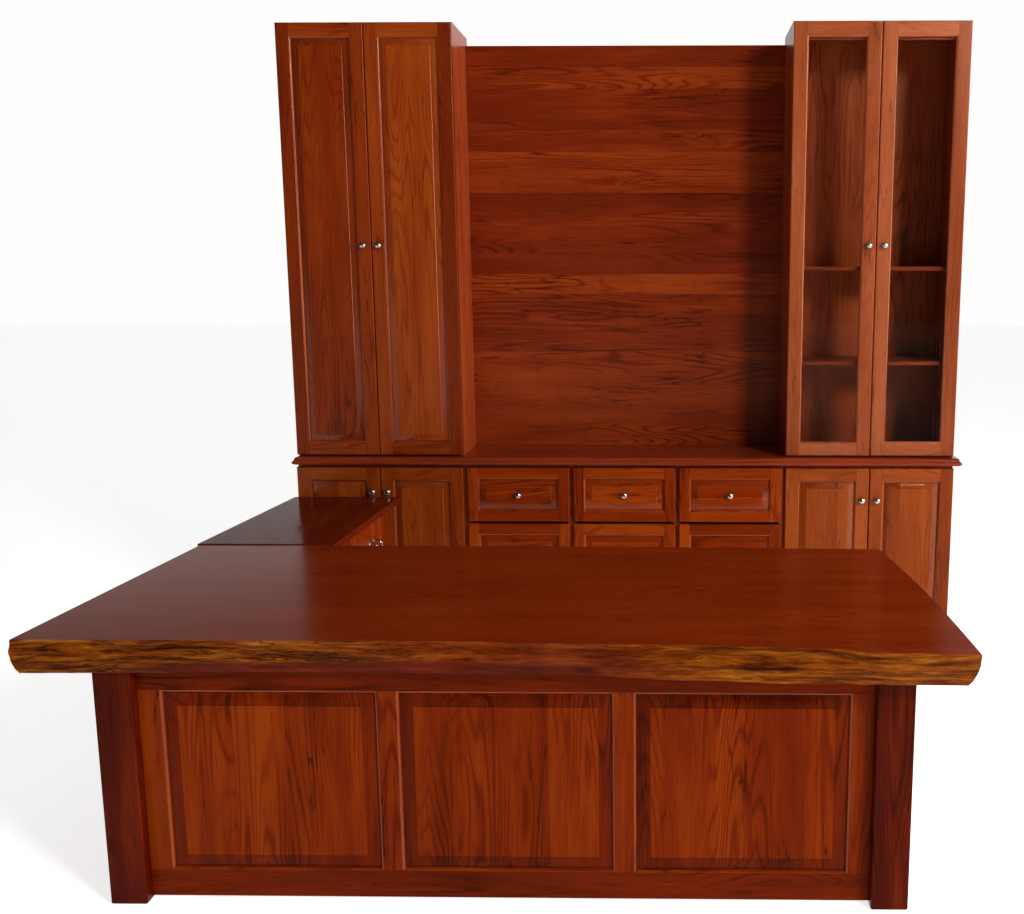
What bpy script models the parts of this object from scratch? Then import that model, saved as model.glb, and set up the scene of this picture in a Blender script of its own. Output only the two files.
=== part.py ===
"""Executive office suite: a live-edge desk with a return, and a wall unit with drawers and display doors.

Units are metres. Room axes while modelling: X to the right, Y from the desk towards the wall, Z up.
x = 0 is the middle of the wall unit and y = 0 is the wall. The parent empty "suite" then shifts
everything so that the world origin is the bottom centre of the whole suite's box.
"""

import math

import bmesh
import bpy
from mathutils import Vector

# ---------------------------------------------------------------- clearances
JOINT_GAP = 0.0003  # between pieces that touch
LEAF_GAP = 0.003  # between two doors of a pair
BUMPER_GAP = 0.002  # between a closed leaf's back and its carcass
REVEAL = 0.004  # from a leaf's edge to the carcass edge it lines up with
RUNNER_GAP = 0.013  # each side of a drawer tray, for its runner

# ---------------------------------------------------------------- boards and leaves
BOARD = 0.018
BACK_BOARD = 0.009
LEAF = 0.022  # doors and drawer fronts
LEAF_ROUND = 0.005
DOOR_FRAME = 0.062
DRAWER_FRAME = 0.052
MOULD_WIDTH = 0.007  # the sticking around a frame's opening
MOULD_DEPTH = 0.009
BEVEL_WIDTH = 0.026  # the raised panel's sloping border
FIELD_DROP = 0.003  # the raised field, below the frame's face
FIELD_STEP = 0.002
PANEL_FLAT = 0.002

# ---------------------------------------------------------------- wall unit
UNIT_SIDE_WIDTH = 0.720  # each door cabinet
COLUMN_FRONT = 0.440  # drawer front width
COLUMN_GAP = 0.0178
COLUMNS = 3
ROWS = 3
BASE_DEPTH = 0.340
BASE_TOP = 0.896
FACE_STRIP = 0.014  # carcass left showing above the base's doors and drawers
PLINTH_HEIGHT = 0.120
PLINTH_SET_BACK = 0.045
PLINTH_SIDE_INSET = 0.030
FACE_FOOT = 0.026  # carcass left showing below them
ROW_GAP = 0.011
BASE_SHELF = 0.520  # underside height of the shelf behind each base pair

COUNTER_THICKNESS = 0.032
COUNTER_LEFT_OVERHANG = 0.012
COUNTER_RIGHT_OVERHANG = 0.027
COUNTER_FRONT_OVERHANG = 0.026
# The counter's edge from its foot up: height, and how far it lies inside the widest point.
COUNTER_STEPS = (
    (0.0, 0.009),
    (0.003, 0.003),
    (0.007, 0.0),
    (0.017, 0.0),
    (0.019, 0.007),
    (0.026, 0.009),
    (COUNTER_THICKNESS, 0.016),
)

HUTCH_DEPTH = 0.325
HUTCH_TOP = 2.722
HUTCH_LEAF_LIFT = 0.006  # a hutch door's foot above the counter
SOLID_SHELVES = (1.330, 1.729, 2.210)  # shelf centres behind the solid doors
DISPLAY_SHELVES = (1.330, 1.729)
DISPLAY_HEADER_DROP = 0.055  # rail under the display cabinet's top board
NICHE_PANEL = 0.025
NICHE_PANEL_SET_IN = 0.010  # from the wall
NICHE_PANEL_TOP_DROP = 0.036  # below the hutch's top

REBATE_WIDTH = 0.009
REBATE_DEPTH = 0.009
GLASS = 0.004
GLASS_GAP = 0.0005
SHELF_FRONT_SET_BACK = 0.012
SHELF_END_GAP = 0.001

# ---------------------------------------------------------------- desk
DESK_HEIGHT = 0.760
SLAB_THICKNESS = 0.086
# The live front edge in plan, from left to right, at the slab's top and at its foot.
SLAB_FRONT_TOP = (
    (-1.551, -2.197),
    (-0.390, -2.197),
    (0.220, -2.217),
    (0.600, -2.238),
    (0.775, -2.268),
    (0.993, -2.272),
)
SLAB_FRONT_FOOT = (
    (-1.551, -2.218),
    (-0.680, -2.202),
    (-0.080, -2.210),
    (0.220, -2.243),
    (0.610, -2.268),
    (0.993, -2.271),
)
SLAB_BACK_LEFT = (-1.474, -1.222)
SLAB_BACK_RIGHT = (0.933, -1.239)
SLAB_BACK_BOW = 0.014
SLAB_RIGHT_BULGE = 0.014
SLAB_LONG_POINTS = 40  # along the front and the back edge
SLAB_END_POINTS = 10
# Depth below the top as a share of the thickness, and how far the ends and the back lie inside there.
SLAB_EDGE = ((0.0, 0.004), (0.09, 0.0), (0.36, 0.001), (0.62, 0.008), (0.84, 0.018), (1.0, 0.032))
SLAB_FRONT_BULGE = 0.006
SLAB_WAVES = ((0.0024, 7.0, 1.9), (0.0017, 13.0, 4.1), (0.0012, 19.0, 0.6))  # height, half waves, phase

DESK_BASE_LEFT = -1.339  # outer face of the left posts
DESK_BASE_WIDTH = 2.186
DESK_BASE_FRONT = -2.197  # front face of the front posts
DESK_BASE_DEPTH = 0.860
POST = 0.101
POST_ROUND = 0.004
FRAME_SET_IN = 0.035  # framed sides, inside the posts' faces
FRAME_THICKNESS = 0.030
FRAME_FLOOR_GAP = 0.006
FRONT_PANELS = 3
FRONT_STILE = 0.066
FRONT_BOTTOM_RAIL = 0.092
FRONT_TOP_RAIL = 0.074
SIDE_FRAME_WIDTH = 0.080
FRONT_BEVEL = 0.036
PANEL_TONGUE = 0.010
PANEL_TONGUE_GAP = 0.0015
PANEL_BACK_THICKNESS = 0.010
APRON_HEIGHT = 0.080
APRON_THICKNESS = 0.025

PEDESTAL_WIDTH = 0.440
PEDESTAL_DEPTH = 0.600
PEDESTAL_PLINTH = 0.070
PEDESTAL_FRONT_TOP_GAP = 0.012
PEDESTAL_ROWS = 3

# ---------------------------------------------------------------- return
RETURN_HEIGHT = 0.760
RETURN_FAR_WIDTH = 0.454
RETURN_NEAR_WIDTH = 0.490
RETURN_NEAR_OUTSET = 0.072  # the near end reaches this far left of the wall unit's side
RETURN_TOP = 0.026
RETURN_SLAB_GAP = 0.010  # the return's top stands clear of the slab's live edge
RETURN_UNIT_GAP = 0.035  # from the return's end to the wall unit's doors
RETURN_TOP_ROUND = 0.003
RETURN_OVERHANG = 0.012
RETURN_CABINET_LENGTH = 0.552
RETURN_PLINTH = 0.070
RETURN_SHELF = 0.400
RETURN_BACK = 0.020
RETURN_BACK_SET_IN = 0.020
RETURN_LEAF = 0.020

# ---------------------------------------------------------------- drawers and hardware
TRAY_WALL = 0.012
TRAY_FLOOR = 0.008
TRAY_DEPTH = 0.300
TRAY_BELOW_TOP = 0.040  # the tray's rim, below the front's top edge
TRAY_ABOVE_FOOT = 0.022
TRAY_INTO_FRONT = 0.006  # how far the tray is let into the front
PEDESTAL_TRAY_DEPTH = 0.480

KNOB_FOOT_RADIUS = 0.0095
KNOB_FOOT = 0.0025
KNOB_NECK_RADIUS = 0.0055
KNOB_NECK = 0.010
KNOB_RADIUS = 0.0135
KNOB_LENGTH = 0.027
KNOB_SIDES = 16
KNOB_LET_IN = 0.004  # a drawer's knob reaches into the front
HUTCH_KNOB_HEIGHT = 1.825
BASE_KNOB_DROP = 0.138  # below the base doors' top edge
KNOB_OVER_RETURN = 0.003  # the left base pair's knobs pass just over the return's top

PULL_LENGTH = 0.128
PULL_REACH = 0.030
PULL_RADIUS = 0.0048
PULL_CORNER = 0.014
PULL_CORNER_POINTS = 5
PULL_FROM_EDGE = 0.030
PULL_TOP = 0.095  # the pull's upper end below the door's top

# ---------------------------------------------------------------- derived places
MIDDLE_HALF = (COLUMNS * COLUMN_FRONT + (COLUMNS + 1) * COLUMN_GAP) / 2
UNIT_HALF = MIDDLE_HALF + UNIT_SIDE_WIDTH
BASE_FRONT_TOP = BASE_TOP - FACE_STRIP
BASE_FRONT_BOTTOM = PLINTH_HEIGHT + FACE_FOOT
COLUMN_OPENING = COLUMN_FRONT - COLUMN_GAP
BASE_LEAF_BACK = -(BASE_DEPTH + BUMPER_GAP)
BASE_FACE = BASE_LEAF_BACK - LEAF
HUTCH_LEAF_BACK = -(HUTCH_DEPTH + BUMPER_GAP)
COUNTER_UNDER = BASE_TOP + JOINT_GAP
COUNTER_TOP = COUNTER_UNDER + COUNTER_THICKNESS
HUTCH_FOOT = COUNTER_TOP + JOINT_GAP
HUTCH_LEAF_BOTTOM = COUNTER_TOP + HUTCH_LEAF_LIFT
HUTCH_LEAF_TOP = HUTCH_TOP - REVEAL
PAIR_LEAF_WIDTH = (UNIT_SIDE_WIDTH - LEAF_GAP) / 2
ROW_HEIGHT = (BASE_FRONT_TOP - BASE_FRONT_BOTTOM - (ROWS - 1) * ROW_GAP) / ROWS

SLAB_BOTTOM = DESK_HEIGHT - SLAB_THICKNESS
DESK_UNDER = SLAB_BOTTOM - JOINT_GAP
DESK_BASE_RIGHT = DESK_BASE_LEFT + DESK_BASE_WIDTH
DESK_BASE_BACK = DESK_BASE_FRONT + DESK_BASE_DEPTH

RETURN_LEFT = -UNIT_HALF
RETURN_NEAR_RIGHT = RETURN_LEFT - RETURN_NEAR_OUTSET + RETURN_NEAR_WIDTH
RETURN_FAR = BASE_FACE - RETURN_UNIT_GAP
RETURN_UNDER = RETURN_HEIGHT - RETURN_TOP - JOINT_GAP
RETURN_FACE = RETURN_NEAR_RIGHT - RETURN_OVERHANG
RETURN_CARCASS_FACE = RETURN_FACE - RETURN_LEAF - BUMPER_GAP
RETURN_CABINET_FAR = RETURN_FAR - RETURN_OVERHANG
RETURN_CABINET_NEAR = RETURN_CABINET_FAR - RETURN_CABINET_LENGTH


# ---------------------------------------------------------------- modelling helpers
def material(name, colour, roughness, metallic=0.0, alpha=1.0):
    made = bpy.data.materials.new(name)
    made.use_nodes = True
    shader = made.node_tree.nodes["Principled BSDF"]
    shader.inputs["Base Color"].default_value = (*colour, 1.0)
    shader.inputs["Roughness"].default_value = roughness
    shader.inputs["Metallic"].default_value = metallic
    shader.inputs["Alpha"].default_value = alpha
    return made


def loft(loops, closed=False):
    """A solid through loops of equal length: capped at both ends, or joined end to start when closed."""
    shape = bmesh.new()
    rings = [[shape.verts.new(point) for point in loop] for loop in loops]
    pairs = list(zip(rings, rings[1:]))
    if closed:
        pairs.append((rings[-1], rings[0]))
    for first, second in pairs:
        for here in range(len(first)):
            after = (here + 1) % len(first)
            shape.faces.new((first[here], first[after], second[after], second[here]))
    if not closed:
        shape.faces.new(rings[0])
        shape.faces.new(rings[-1])
    bmesh.ops.recalc_face_normals(shape, faces=shape.faces)
    return shape


def box_shape(low, high):
    def rectangle(z):
        return [
            Vector((low[0], low[1], z)),
            Vector((high[0], low[1], z)),
            Vector((high[0], high[1], z)),
            Vector((low[0], high[1], z)),
        ]

    return loft([rectangle(low[2]), rectangle(high[2])])


def add(name, shape, finish, at=(0, 0, 0), turn=0.0, parent=None):
    """An object from a bmesh, placed in the room, or from its parent's origin."""
    mesh = bpy.data.meshes.new(name)
    shape.to_mesh(mesh)
    shape.free()
    made = bpy.data.objects.new(name, mesh)
    bpy.context.scene.collection.objects.link(made)
    made.parent = parent or suite
    made.location = at
    made.rotation_euler = (0, 0, turn)
    if finish is not None:
        mesh.materials.append(finish)
    return made


def helper(name, shape, at=(0, 0, 0), turn=0.0, parent=None):
    """A shape that a Boolean reads and that isn't a part itself."""
    made = add(name, shape, None, at, turn, parent)
    made.hide_render = True
    made.display_type = "WIRE"
    return made


def boolean(target, other, operation):
    step = target.modifiers.new(operation.lower(), "BOOLEAN")
    step.operation = operation
    step.solver = "EXACT"
    step.object = other


def pivot(name, at, turn=0.0):
    """An empty on a joint's axis, for the pieces that turn or slide with it."""
    made = bpy.data.objects.new(name, None)
    bpy.context.scene.collection.objects.link(made)
    made.parent = suite
    made.location = at
    made.rotation_euler = (0, 0, turn)
    return made


def block(name, low, high, finish, rounding=0.0):
    middle = [(a + b) / 2 for a, b in zip(low, high)]
    shape = box_shape([a - m for a, m in zip(low, middle)], [b - m for b, m in zip(high, middle)])
    made = add(name, shape, finish, at=middle)
    if rounding:
        soften = made.modifiers.new("rounding", "BEVEL")
        soften.width = rounding
        soften.segments = 2
    return made


def carcass(name, low, high, cavities, finish):
    """A cabinet body: a block with a box cut out of it for each (low, high) cavity."""
    made = add(name, box_shape(low, high), finish)
    for number, (cut_low, cut_high) in enumerate(cavities):
        boolean(made, helper(f"{name}_cut_{number}", box_shape(cut_low, cut_high)), "DIFFERENCE")
    return made


# ---------------------------------------------------------------- leaves
def upright_loop(width, height, inset, depth):
    """A rectangle facing -Y whose centre is the leaf's back centre, depth in front of the back."""
    half, tall = width / 2 - inset, height / 2 - inset
    return [
        Vector((-half, -depth, -tall)),
        Vector((half, -depth, -tall)),
        Vector((half, -depth, tall)),
        Vector((-half, -depth, tall)),
    ]


def rounded_edge(thickness):
    """The levels of a leaf's outer edge, from its back to its face, as (inset, depth)."""
    turn = LEAF_ROUND * (1 - math.sqrt(0.5))
    return [
        (0.0, 0.0),
        (0.0, thickness - LEAF_ROUND),
        (turn, thickness - turn),
        (LEAF_ROUND, thickness),
    ]


def raised_levels(frame, thickness, bevel=BEVEL_WIDTH):
    """A framed leaf with a raised panel, as levels of (inset, depth)."""
    floor = thickness - MOULD_DEPTH
    field = thickness - FIELD_DROP
    return [
        *rounded_edge(thickness),
        (frame - MOULD_WIDTH, thickness),
        (frame, floor),
        (frame + PANEL_FLAT, floor),
        (frame + bevel, field - FIELD_STEP),
        (frame + bevel + FIELD_STEP / 2, field),
    ]


def leaf_shape(width, height, levels, closed=False):
    return loft([upright_loop(width, height, *level) for level in levels], closed)


def glazed_levels():
    """A door frame with no panel: moulded at its face and rebated at its back for the glass."""
    return [
        *rounded_edge(LEAF),
        (DOOR_FRAME - MOULD_WIDTH, LEAF),
        (DOOR_FRAME, LEAF - MOULD_DEPTH),
        (DOOR_FRAME, REBATE_DEPTH),
        (DOOR_FRAME - REBATE_WIDTH, REBATE_DEPTH),
        (DOOR_FRAME - REBATE_WIDTH, 0.0),
    ]


# ---------------------------------------------------------------- hardware
def knob_shape(let_in=0.0):
    """A turned ball knob that stands on the plane y = 0 and points to -Y."""
    ball = KNOB_LENGTH - KNOB_NECK
    profile = [
        (KNOB_FOOT_RADIUS, -let_in),
        (KNOB_FOOT_RADIUS, KNOB_FOOT),
        (KNOB_NECK_RADIUS, KNOB_FOOT),
        (KNOB_NECK_RADIUS, KNOB_NECK),
    ]
    for share in (0.18, 0.42, 0.66, 0.86):
        angle = math.pi * (share - 0.5)
        profile.append((KNOB_RADIUS * math.cos(angle), KNOB_NECK + ball * (0.5 + math.sin(angle) / 2)))
    profile.append((KNOB_RADIUS * 0.3, KNOB_LENGTH))

    def ring(radius, out):
        turns = [2 * math.pi * side / KNOB_SIDES for side in range(KNOB_SIDES)]
        return [Vector((radius * math.cos(a), -out, radius * math.sin(a))) for a in turns]

    return loft([ring(radius, out) for radius, out in profile])


def add_knob(name, at, parent):
    made = add(name, knob_shape(), STEEL, at=at, parent=parent)
    made.data.shade_smooth()
    made.data.set_sharp_from_angle(angle=math.radians(40))
    return made


def pull_points():
    """A bow pull's centre line: out from the door, down and back in, with round corners."""
    half = PULL_LENGTH / 2
    points = [(0.0, half)]
    for centre_z, start in ((half - PULL_CORNER, 90), (-half + PULL_CORNER, 0)):
        for step in range(PULL_CORNER_POINTS):
            angle = math.radians(start - 90 * step / (PULL_CORNER_POINTS - 1))
            reach = PULL_REACH - PULL_CORNER + PULL_CORNER * math.cos(angle)
            points.append((reach, centre_z + PULL_CORNER * math.sin(angle)))
    points.append((0.0, -half))
    return points


def add_pull(name, at, parent):
    """A bow pull that stands on the plane y = 0 and reaches to -Y."""
    line = bpy.data.curves.new(name, "CURVE")
    line.dimensions = "3D"
    line.bevel_depth = PULL_RADIUS
    line.bevel_resolution = 2
    line.use_fill_caps = True
    line.materials.append(STEEL)
    route = line.splines.new("POLY")
    points = pull_points()
    route.points.add(len(points) - 1)
    for point, (out, up) in zip(route.points, points):
        point.co = (0.0, -out, up, 1.0)
    made = bpy.data.objects.new(name, line)
    bpy.context.scene.collection.objects.link(made)
    made.parent = parent
    made.location = at
    return made


# ---------------------------------------------------------------- moving leaves
def add_drawer(name, back_centre, width, height, opening_width, tray_depth, turn=0.0):
    """A drawer: moulded front, tray and knob in one piece, from the middle of the front's back."""
    guide = pivot(f"{name}_slide", back_centre, turn)
    front = add(name, leaf_shape(width, height, raised_levels(DRAWER_FRAME, LEAF)), DOOR_WOOD, parent=guide)
    half = opening_width / 2 - RUNNER_GAP
    low = (-half, -TRAY_INTO_FRONT, -height / 2 + TRAY_ABOVE_FOOT)
    high = (half, tray_depth, height / 2 - TRAY_BELOW_TOP)
    tray = helper(f"{name}_tray", box_shape(low, high), parent=guide)
    hollow_low = (low[0] + TRAY_WALL, TRAY_WALL, low[2] + TRAY_FLOOR)
    hollow_high = (high[0] - TRAY_WALL, high[1] - TRAY_WALL, high[2] + TRAY_FLOOR)
    boolean(tray, helper(f"{name}_hollow", box_shape(hollow_low, hollow_high), parent=guide), "DIFFERENCE")
    knob_at = (0, -(LEAF - FIELD_DROP), 0)
    knob = helper(f"{name}_knob", knob_shape(KNOB_LET_IN), at=knob_at, parent=guide)
    boolean(front, tray, "UNION")
    boolean(front, knob, "UNION")
    return front


def add_door_pair(name, left, bottom, top, leaf_back, knob_height, glazed=False):
    """Two doors that meet in the middle of a side cabinet, each on a hinge at its outer front edge."""
    height = top - bottom
    levels = glazed_levels() if glazed else raised_levels(DOOR_FRAME, LEAF)
    finish = DISPLAY_WOOD if glazed else DOOR_WOOD
    for side, label in ((-1, "left"), (1, "right")):
        hinge_x = left if side < 0 else left + UNIT_SIDE_WIDTH
        axis = pivot(f"{name}_{label}_hinge", (hinge_x, leaf_back - LEAF, (bottom + top) / 2))
        centre = (-side * PAIR_LEAF_WIDTH / 2, LEAF, 0)
        shape = leaf_shape(PAIR_LEAF_WIDTH, height, levels, closed=glazed)
        add(f"{name}_{label}", shape, finish, at=centre, parent=axis)
        knob_x = -side * (PAIR_LEAF_WIDTH - DOOR_FRAME / 2)
        knob_z = knob_height - (bottom + top) / 2
        add_knob(f"{name}_{label}_knob", (knob_x, -JOINT_GAP, knob_z), axis)
        if glazed:
            rim = DOOR_FRAME - REBATE_WIDTH + GLASS_GAP
            pane = [(rim, REBATE_DEPTH - GLASS_GAP - GLASS), (rim, REBATE_DEPTH - GLASS_GAP)]
            shape = leaf_shape(PAIR_LEAF_WIDTH, height, pane)
            add(f"{name}_{label}_glass", shape, CLEAR_GLASS, at=centre, parent=axis)


# ---------------------------------------------------------------- wall unit
def column_left(column):
    """The left edge of a drawer column's fronts."""
    return -MIDDLE_HALF + COLUMN_GAP + column * (COLUMN_FRONT + COLUMN_GAP)


def add_base_units():
    front = -BASE_DEPTH
    past = front - 0.01
    inner_back = -BACK_BOARD
    floor, ceiling = PLINTH_HEIGHT + BOARD, BASE_TOP - BOARD
    for name, left in (("base_cabinet_left", -UNIT_HALF), ("base_cabinet_right", MIDDLE_HALF + JOINT_GAP)):
        right = left + UNIT_SIDE_WIDTH - JOINT_GAP  # two cabinets and the middle one share their joints
        cavities = [
            ((left + BOARD, past, low), (right - BOARD, inner_back, high))
            for low, high in ((floor, BASE_SHELF), (BASE_SHELF + BOARD, ceiling))
        ]
        carcass(name, (left, front, PLINTH_HEIGHT), (right, 0, BASE_TOP), cavities, CASE_WOOD)
    cavities = []
    for column in range(COLUMNS):
        left = column_left(column) + (COLUMN_FRONT - COLUMN_OPENING) / 2
        cavities.append(((left, past, floor), (left + COLUMN_OPENING, inner_back, ceiling)))
    low, high = (-MIDDLE_HALF, front, PLINTH_HEIGHT), (MIDDLE_HALF, 0, BASE_TOP)
    carcass("base_drawer_cabinet", low, high, cavities, CASE_WOOD)


def add_plinth():
    left, right = -UNIT_HALF + PLINTH_SIDE_INSET, UNIT_HALF - PLINTH_SIDE_INSET
    near, far = -BASE_DEPTH + PLINTH_SET_BACK, -JOINT_GAP
    top = PLINTH_HEIGHT - JOINT_GAP

    def loop(inset, z):
        return [
            Vector((left + inset, near + inset, z)),
            Vector((right - inset, near + inset, z)),
            Vector((right - inset, far - inset, z)),
            Vector((left + inset, far - inset, z)),
        ]

    levels = ((0, 0), (0, top), (BOARD, top), (BOARD, 0))
    add("base_plinth", loft([loop(*level) for level in levels], closed=True), CASE_WOOD)


def add_counter():
    """The worktop, moulded along its front and both ends and flat against the wall."""
    left, right = -UNIT_HALF - COUNTER_LEFT_OVERHANG, UNIT_HALF + COUNTER_RIGHT_OVERHANG
    front = BASE_FACE - COUNTER_FRONT_OVERHANG

    def loop(height, inset):
        z = COUNTER_UNDER + height
        return [
            Vector((left + inset, front + inset, z)),
            Vector((right - inset, front + inset, z)),
            Vector((right - inset, 0, z)),
            Vector((left + inset, 0, z)),
        ]

    add("counter_top", loft([loop(*step) for step in COUNTER_STEPS]), SLAB_WOOD)


def add_drawers():
    for row in range(ROWS):
        middle = BASE_FRONT_TOP - ROW_HEIGHT / 2 - row * (ROW_HEIGHT + ROW_GAP)
        for column in range(COLUMNS):
            centre = (column_left(column) + COLUMN_FRONT / 2, BASE_LEAF_BACK, middle)
            name = f"drawer_row{row + 1}_column{column + 1}"
            add_drawer(name, centre, COLUMN_FRONT, ROW_HEIGHT, COLUMN_OPENING, TRAY_DEPTH)


def add_hutch():
    front = -HUTCH_DEPTH
    past = front - 0.01
    back = -BACK_BOARD
    floor, ceiling = HUTCH_FOOT + BOARD, HUTCH_TOP - BOARD
    left, right = -UNIT_HALF, -MIDDLE_HALF
    edges = [floor]
    for shelf in SOLID_SHELVES:
        edges += [shelf - BOARD / 2, shelf + BOARD / 2]
    edges.append(ceiling)
    levels = zip(edges[::2], edges[1::2])
    cavities = [((left + BOARD, past, low), (right - BOARD, back, high)) for low, high in levels]
    carcass("hutch_cabinet", (left, front, HUTCH_FOOT), (right, 0, HUTCH_TOP), cavities, CASE_WOOD)

    left, right = MIDDLE_HALF, UNIT_HALF
    header = ceiling - DISPLAY_HEADER_DROP
    cavities = [
        ((left + BOARD, past, floor), (right - BOARD, back, header)),
        ((left + BOARD, front + BOARD, floor), (right - BOARD, back, ceiling)),
    ]
    carcass("display_cabinet", (left, front, HUTCH_FOOT), (right, 0, HUTCH_TOP), cavities, CASE_WOOD)
    for number, height in enumerate(DISPLAY_SHELVES):
        low = (left + BOARD + SHELF_END_GAP, front + SHELF_FRONT_SET_BACK, height - BOARD / 2)
        high = (right - BOARD - SHELF_END_GAP, back - SHELF_END_GAP, height + BOARD / 2)
        block(f"display_shelf_{number + 1}", low, high, CASE_WOOD)

    low = (-MIDDLE_HALF + JOINT_GAP, -NICHE_PANEL_SET_IN - NICHE_PANEL, HUTCH_FOOT)
    high = (MIDDLE_HALF - JOINT_GAP, -NICHE_PANEL_SET_IN, HUTCH_TOP - NICHE_PANEL_TOP_DROP)
    block("niche_back_panel", low, high, PLANK_WOOD)


def add_wall_unit():
    add_plinth()
    add_base_units()
    add_counter()
    add_drawers()
    add_hutch()
    base = (BASE_FRONT_BOTTOM, BASE_FRONT_TOP, BASE_LEAF_BACK)
    over_return = RETURN_HEIGHT + KNOB_OVER_RETURN + KNOB_RADIUS
    add_door_pair("base_door_a", -UNIT_HALF, *base, over_return)
    add_door_pair("base_door_b", MIDDLE_HALF, *base, BASE_FRONT_TOP - BASE_KNOB_DROP)
    tall = (HUTCH_LEAF_BOTTOM, HUTCH_LEAF_TOP, HUTCH_LEAF_BACK, HUTCH_KNOB_HEIGHT)
    add_door_pair("hutch_door", -UNIT_HALF, *tall)
    add_door_pair("display_door", MIDDLE_HALF, *tall, glazed=True)


# ---------------------------------------------------------------- desk
def between(points, x):
    """The height at x of a line that eases from each (x, y) point to the next."""
    for (x0, y0), (x1, y1) in zip(points, points[1:]):
        if x <= x1:
            share = (x - x0) / (x1 - x0)
            return y0 + (y1 - y0) * share * share * (3 - 2 * share)
    return points[-1][1]


def wander(share, phase):
    """A live edge's small waves at a share of its length. They die out at the corners."""
    swing = sum(high * math.sin(count * math.pi * share + turn + phase) for high, count, turn in SLAB_WAVES)
    return swing * math.sin(math.pi * share)


def slab_loop(depth_share, inset):
    """One level of the slab's edge, anticlockwise from the front left corner."""
    points = []
    left, right = SLAB_FRONT_TOP[0][0] + inset, SLAB_FRONT_TOP[-1][0] - inset
    for step in range(SLAB_LONG_POINTS):
        share = step / SLAB_LONG_POINTS
        x = left + (right - left) * share
        y = between(SLAB_FRONT_TOP, x) * (1 - depth_share) + between(SLAB_FRONT_FOOT, x) * depth_share
        bulge = SLAB_FRONT_BULGE * math.sin(math.pi * depth_share)
        points.append(Vector((x, y - bulge - wander(share, 2.6 * depth_share))))
    front_right = Vector((right, between(SLAB_FRONT_TOP, right)))
    back_right = Vector(SLAB_BACK_RIGHT) - Vector((inset, inset))
    back_left = Vector(SLAB_BACK_LEFT) + Vector((inset, -inset))
    for step in range(SLAB_END_POINTS):
        share = step / SLAB_END_POINTS
        bulge = SLAB_RIGHT_BULGE * math.sin(math.pi * share)
        points.append(front_right.lerp(back_right, share) + Vector((bulge, 0)))
    for step in range(SLAB_LONG_POINTS):
        share = step / SLAB_LONG_POINTS
        bow = SLAB_BACK_BOW * math.sin(math.pi * share) + wander(share, 1.3 + 2.6 * depth_share)
        points.append(back_right.lerp(back_left, share) + Vector((0, bow)))
    for step in range(SLAB_END_POINTS):
        points.append(back_left.lerp(points[0], step / SLAB_END_POINTS))
    z = DESK_HEIGHT - SLAB_THICKNESS * depth_share
    return [Vector((point.x, point.y, z)) for point in points]


def slab_points():
    return [point for level in SLAB_EDGE for point in slab_loop(*level)]


def add_slab():
    loops = [slab_loop(*level) for level in SLAB_EDGE]
    made = add("desk_slab_top", loft(loops), SLAB_WOOD)
    made.data.shade_smooth()
    made.data.set_sharp_from_angle(angle=math.radians(35))
    return made


def add_posts():
    for label_y, near in (("front", DESK_BASE_FRONT), ("rear", DESK_BASE_BACK - POST)):
        for label_x, left in (("left", DESK_BASE_LEFT), ("right", DESK_BASE_RIGHT - POST)):
            low, high = (left, near, 0), (left + POST, near + POST, DESK_UNDER)
            block(f"desk_post_{label_y}_{label_x}", low, high, POST_WOOD, POST_ROUND)


def front_opening(number):
    """Left and right edges of one opening in the desk's front frame."""
    left = DESK_BASE_LEFT + POST + JOINT_GAP
    right = DESK_BASE_RIGHT - POST - JOINT_GAP
    width = (right - left - (FRONT_PANELS + 1) * FRONT_STILE) / FRONT_PANELS
    start = left + FRONT_STILE + number * (width + FRONT_STILE)
    return start, start + width


def add_desk_front():
    """The framed front: a glued frame of rails and stiles, with loose raised panels in its rebates."""
    left = DESK_BASE_LEFT + POST + JOINT_GAP
    right = DESK_BASE_RIGHT - POST - JOINT_GAP
    face = DESK_BASE_FRONT + FRAME_SET_IN
    back = face + FRAME_THICKNESS
    low = (left, face, FRAME_FLOOR_GAP)
    frame = add("desk_front_frame", box_shape(low, (right, back, DESK_UNDER)), PANEL_WOOD)
    bottom, top = FRONT_BOTTOM_RAIL, DESK_UNDER - FRONT_TOP_RAIL
    height = top - bottom
    rebate = PANEL_TONGUE + PANEL_TONGUE_GAP
    for number, label in enumerate(("left", "middle", "right")):
        x0, x1 = front_opening(number)
        centre = ((x0 + x1) / 2, back, (bottom + top) / 2)
        past = 0.01
        cut = [
            (-rebate, -past),
            (-rebate, PANEL_BACK_THICKNESS + JOINT_GAP),
            (0.0, PANEL_BACK_THICKNESS + JOINT_GAP),
            (0.0, FRAME_THICKNESS - MOULD_DEPTH),
            (-MOULD_WIDTH, FRAME_THICKNESS),
            (-MOULD_WIDTH, FRAME_THICKNESS + past),
        ]
        cutter = helper(f"desk_front_cut_{label}", leaf_shape(x1 - x0, height, cut), at=centre)
        boolean(frame, cutter, "DIFFERENCE")
        edge = PANEL_TONGUE + JOINT_GAP
        levels = [
            (0.0, 0.0),
            (0.0, PANEL_BACK_THICKNESS),
            (edge, PANEL_BACK_THICKNESS),
            (edge, FRAME_THICKNESS - MOULD_DEPTH),
            (edge + PANEL_FLAT, FRAME_THICKNESS - MOULD_DEPTH),
            (edge + FRONT_BEVEL, FRAME_THICKNESS - FIELD_DROP - FIELD_STEP),
            (edge + FRONT_BEVEL + FIELD_STEP / 2, FRAME_THICKNESS - FIELD_DROP),
        ]
        grown = 2 * PANEL_TONGUE
        shape = leaf_shape(x1 - x0 + grown, height + grown, levels)
        add(f"desk_front_panel_{label}", shape, PANEL_WOOD, at=centre)


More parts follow.
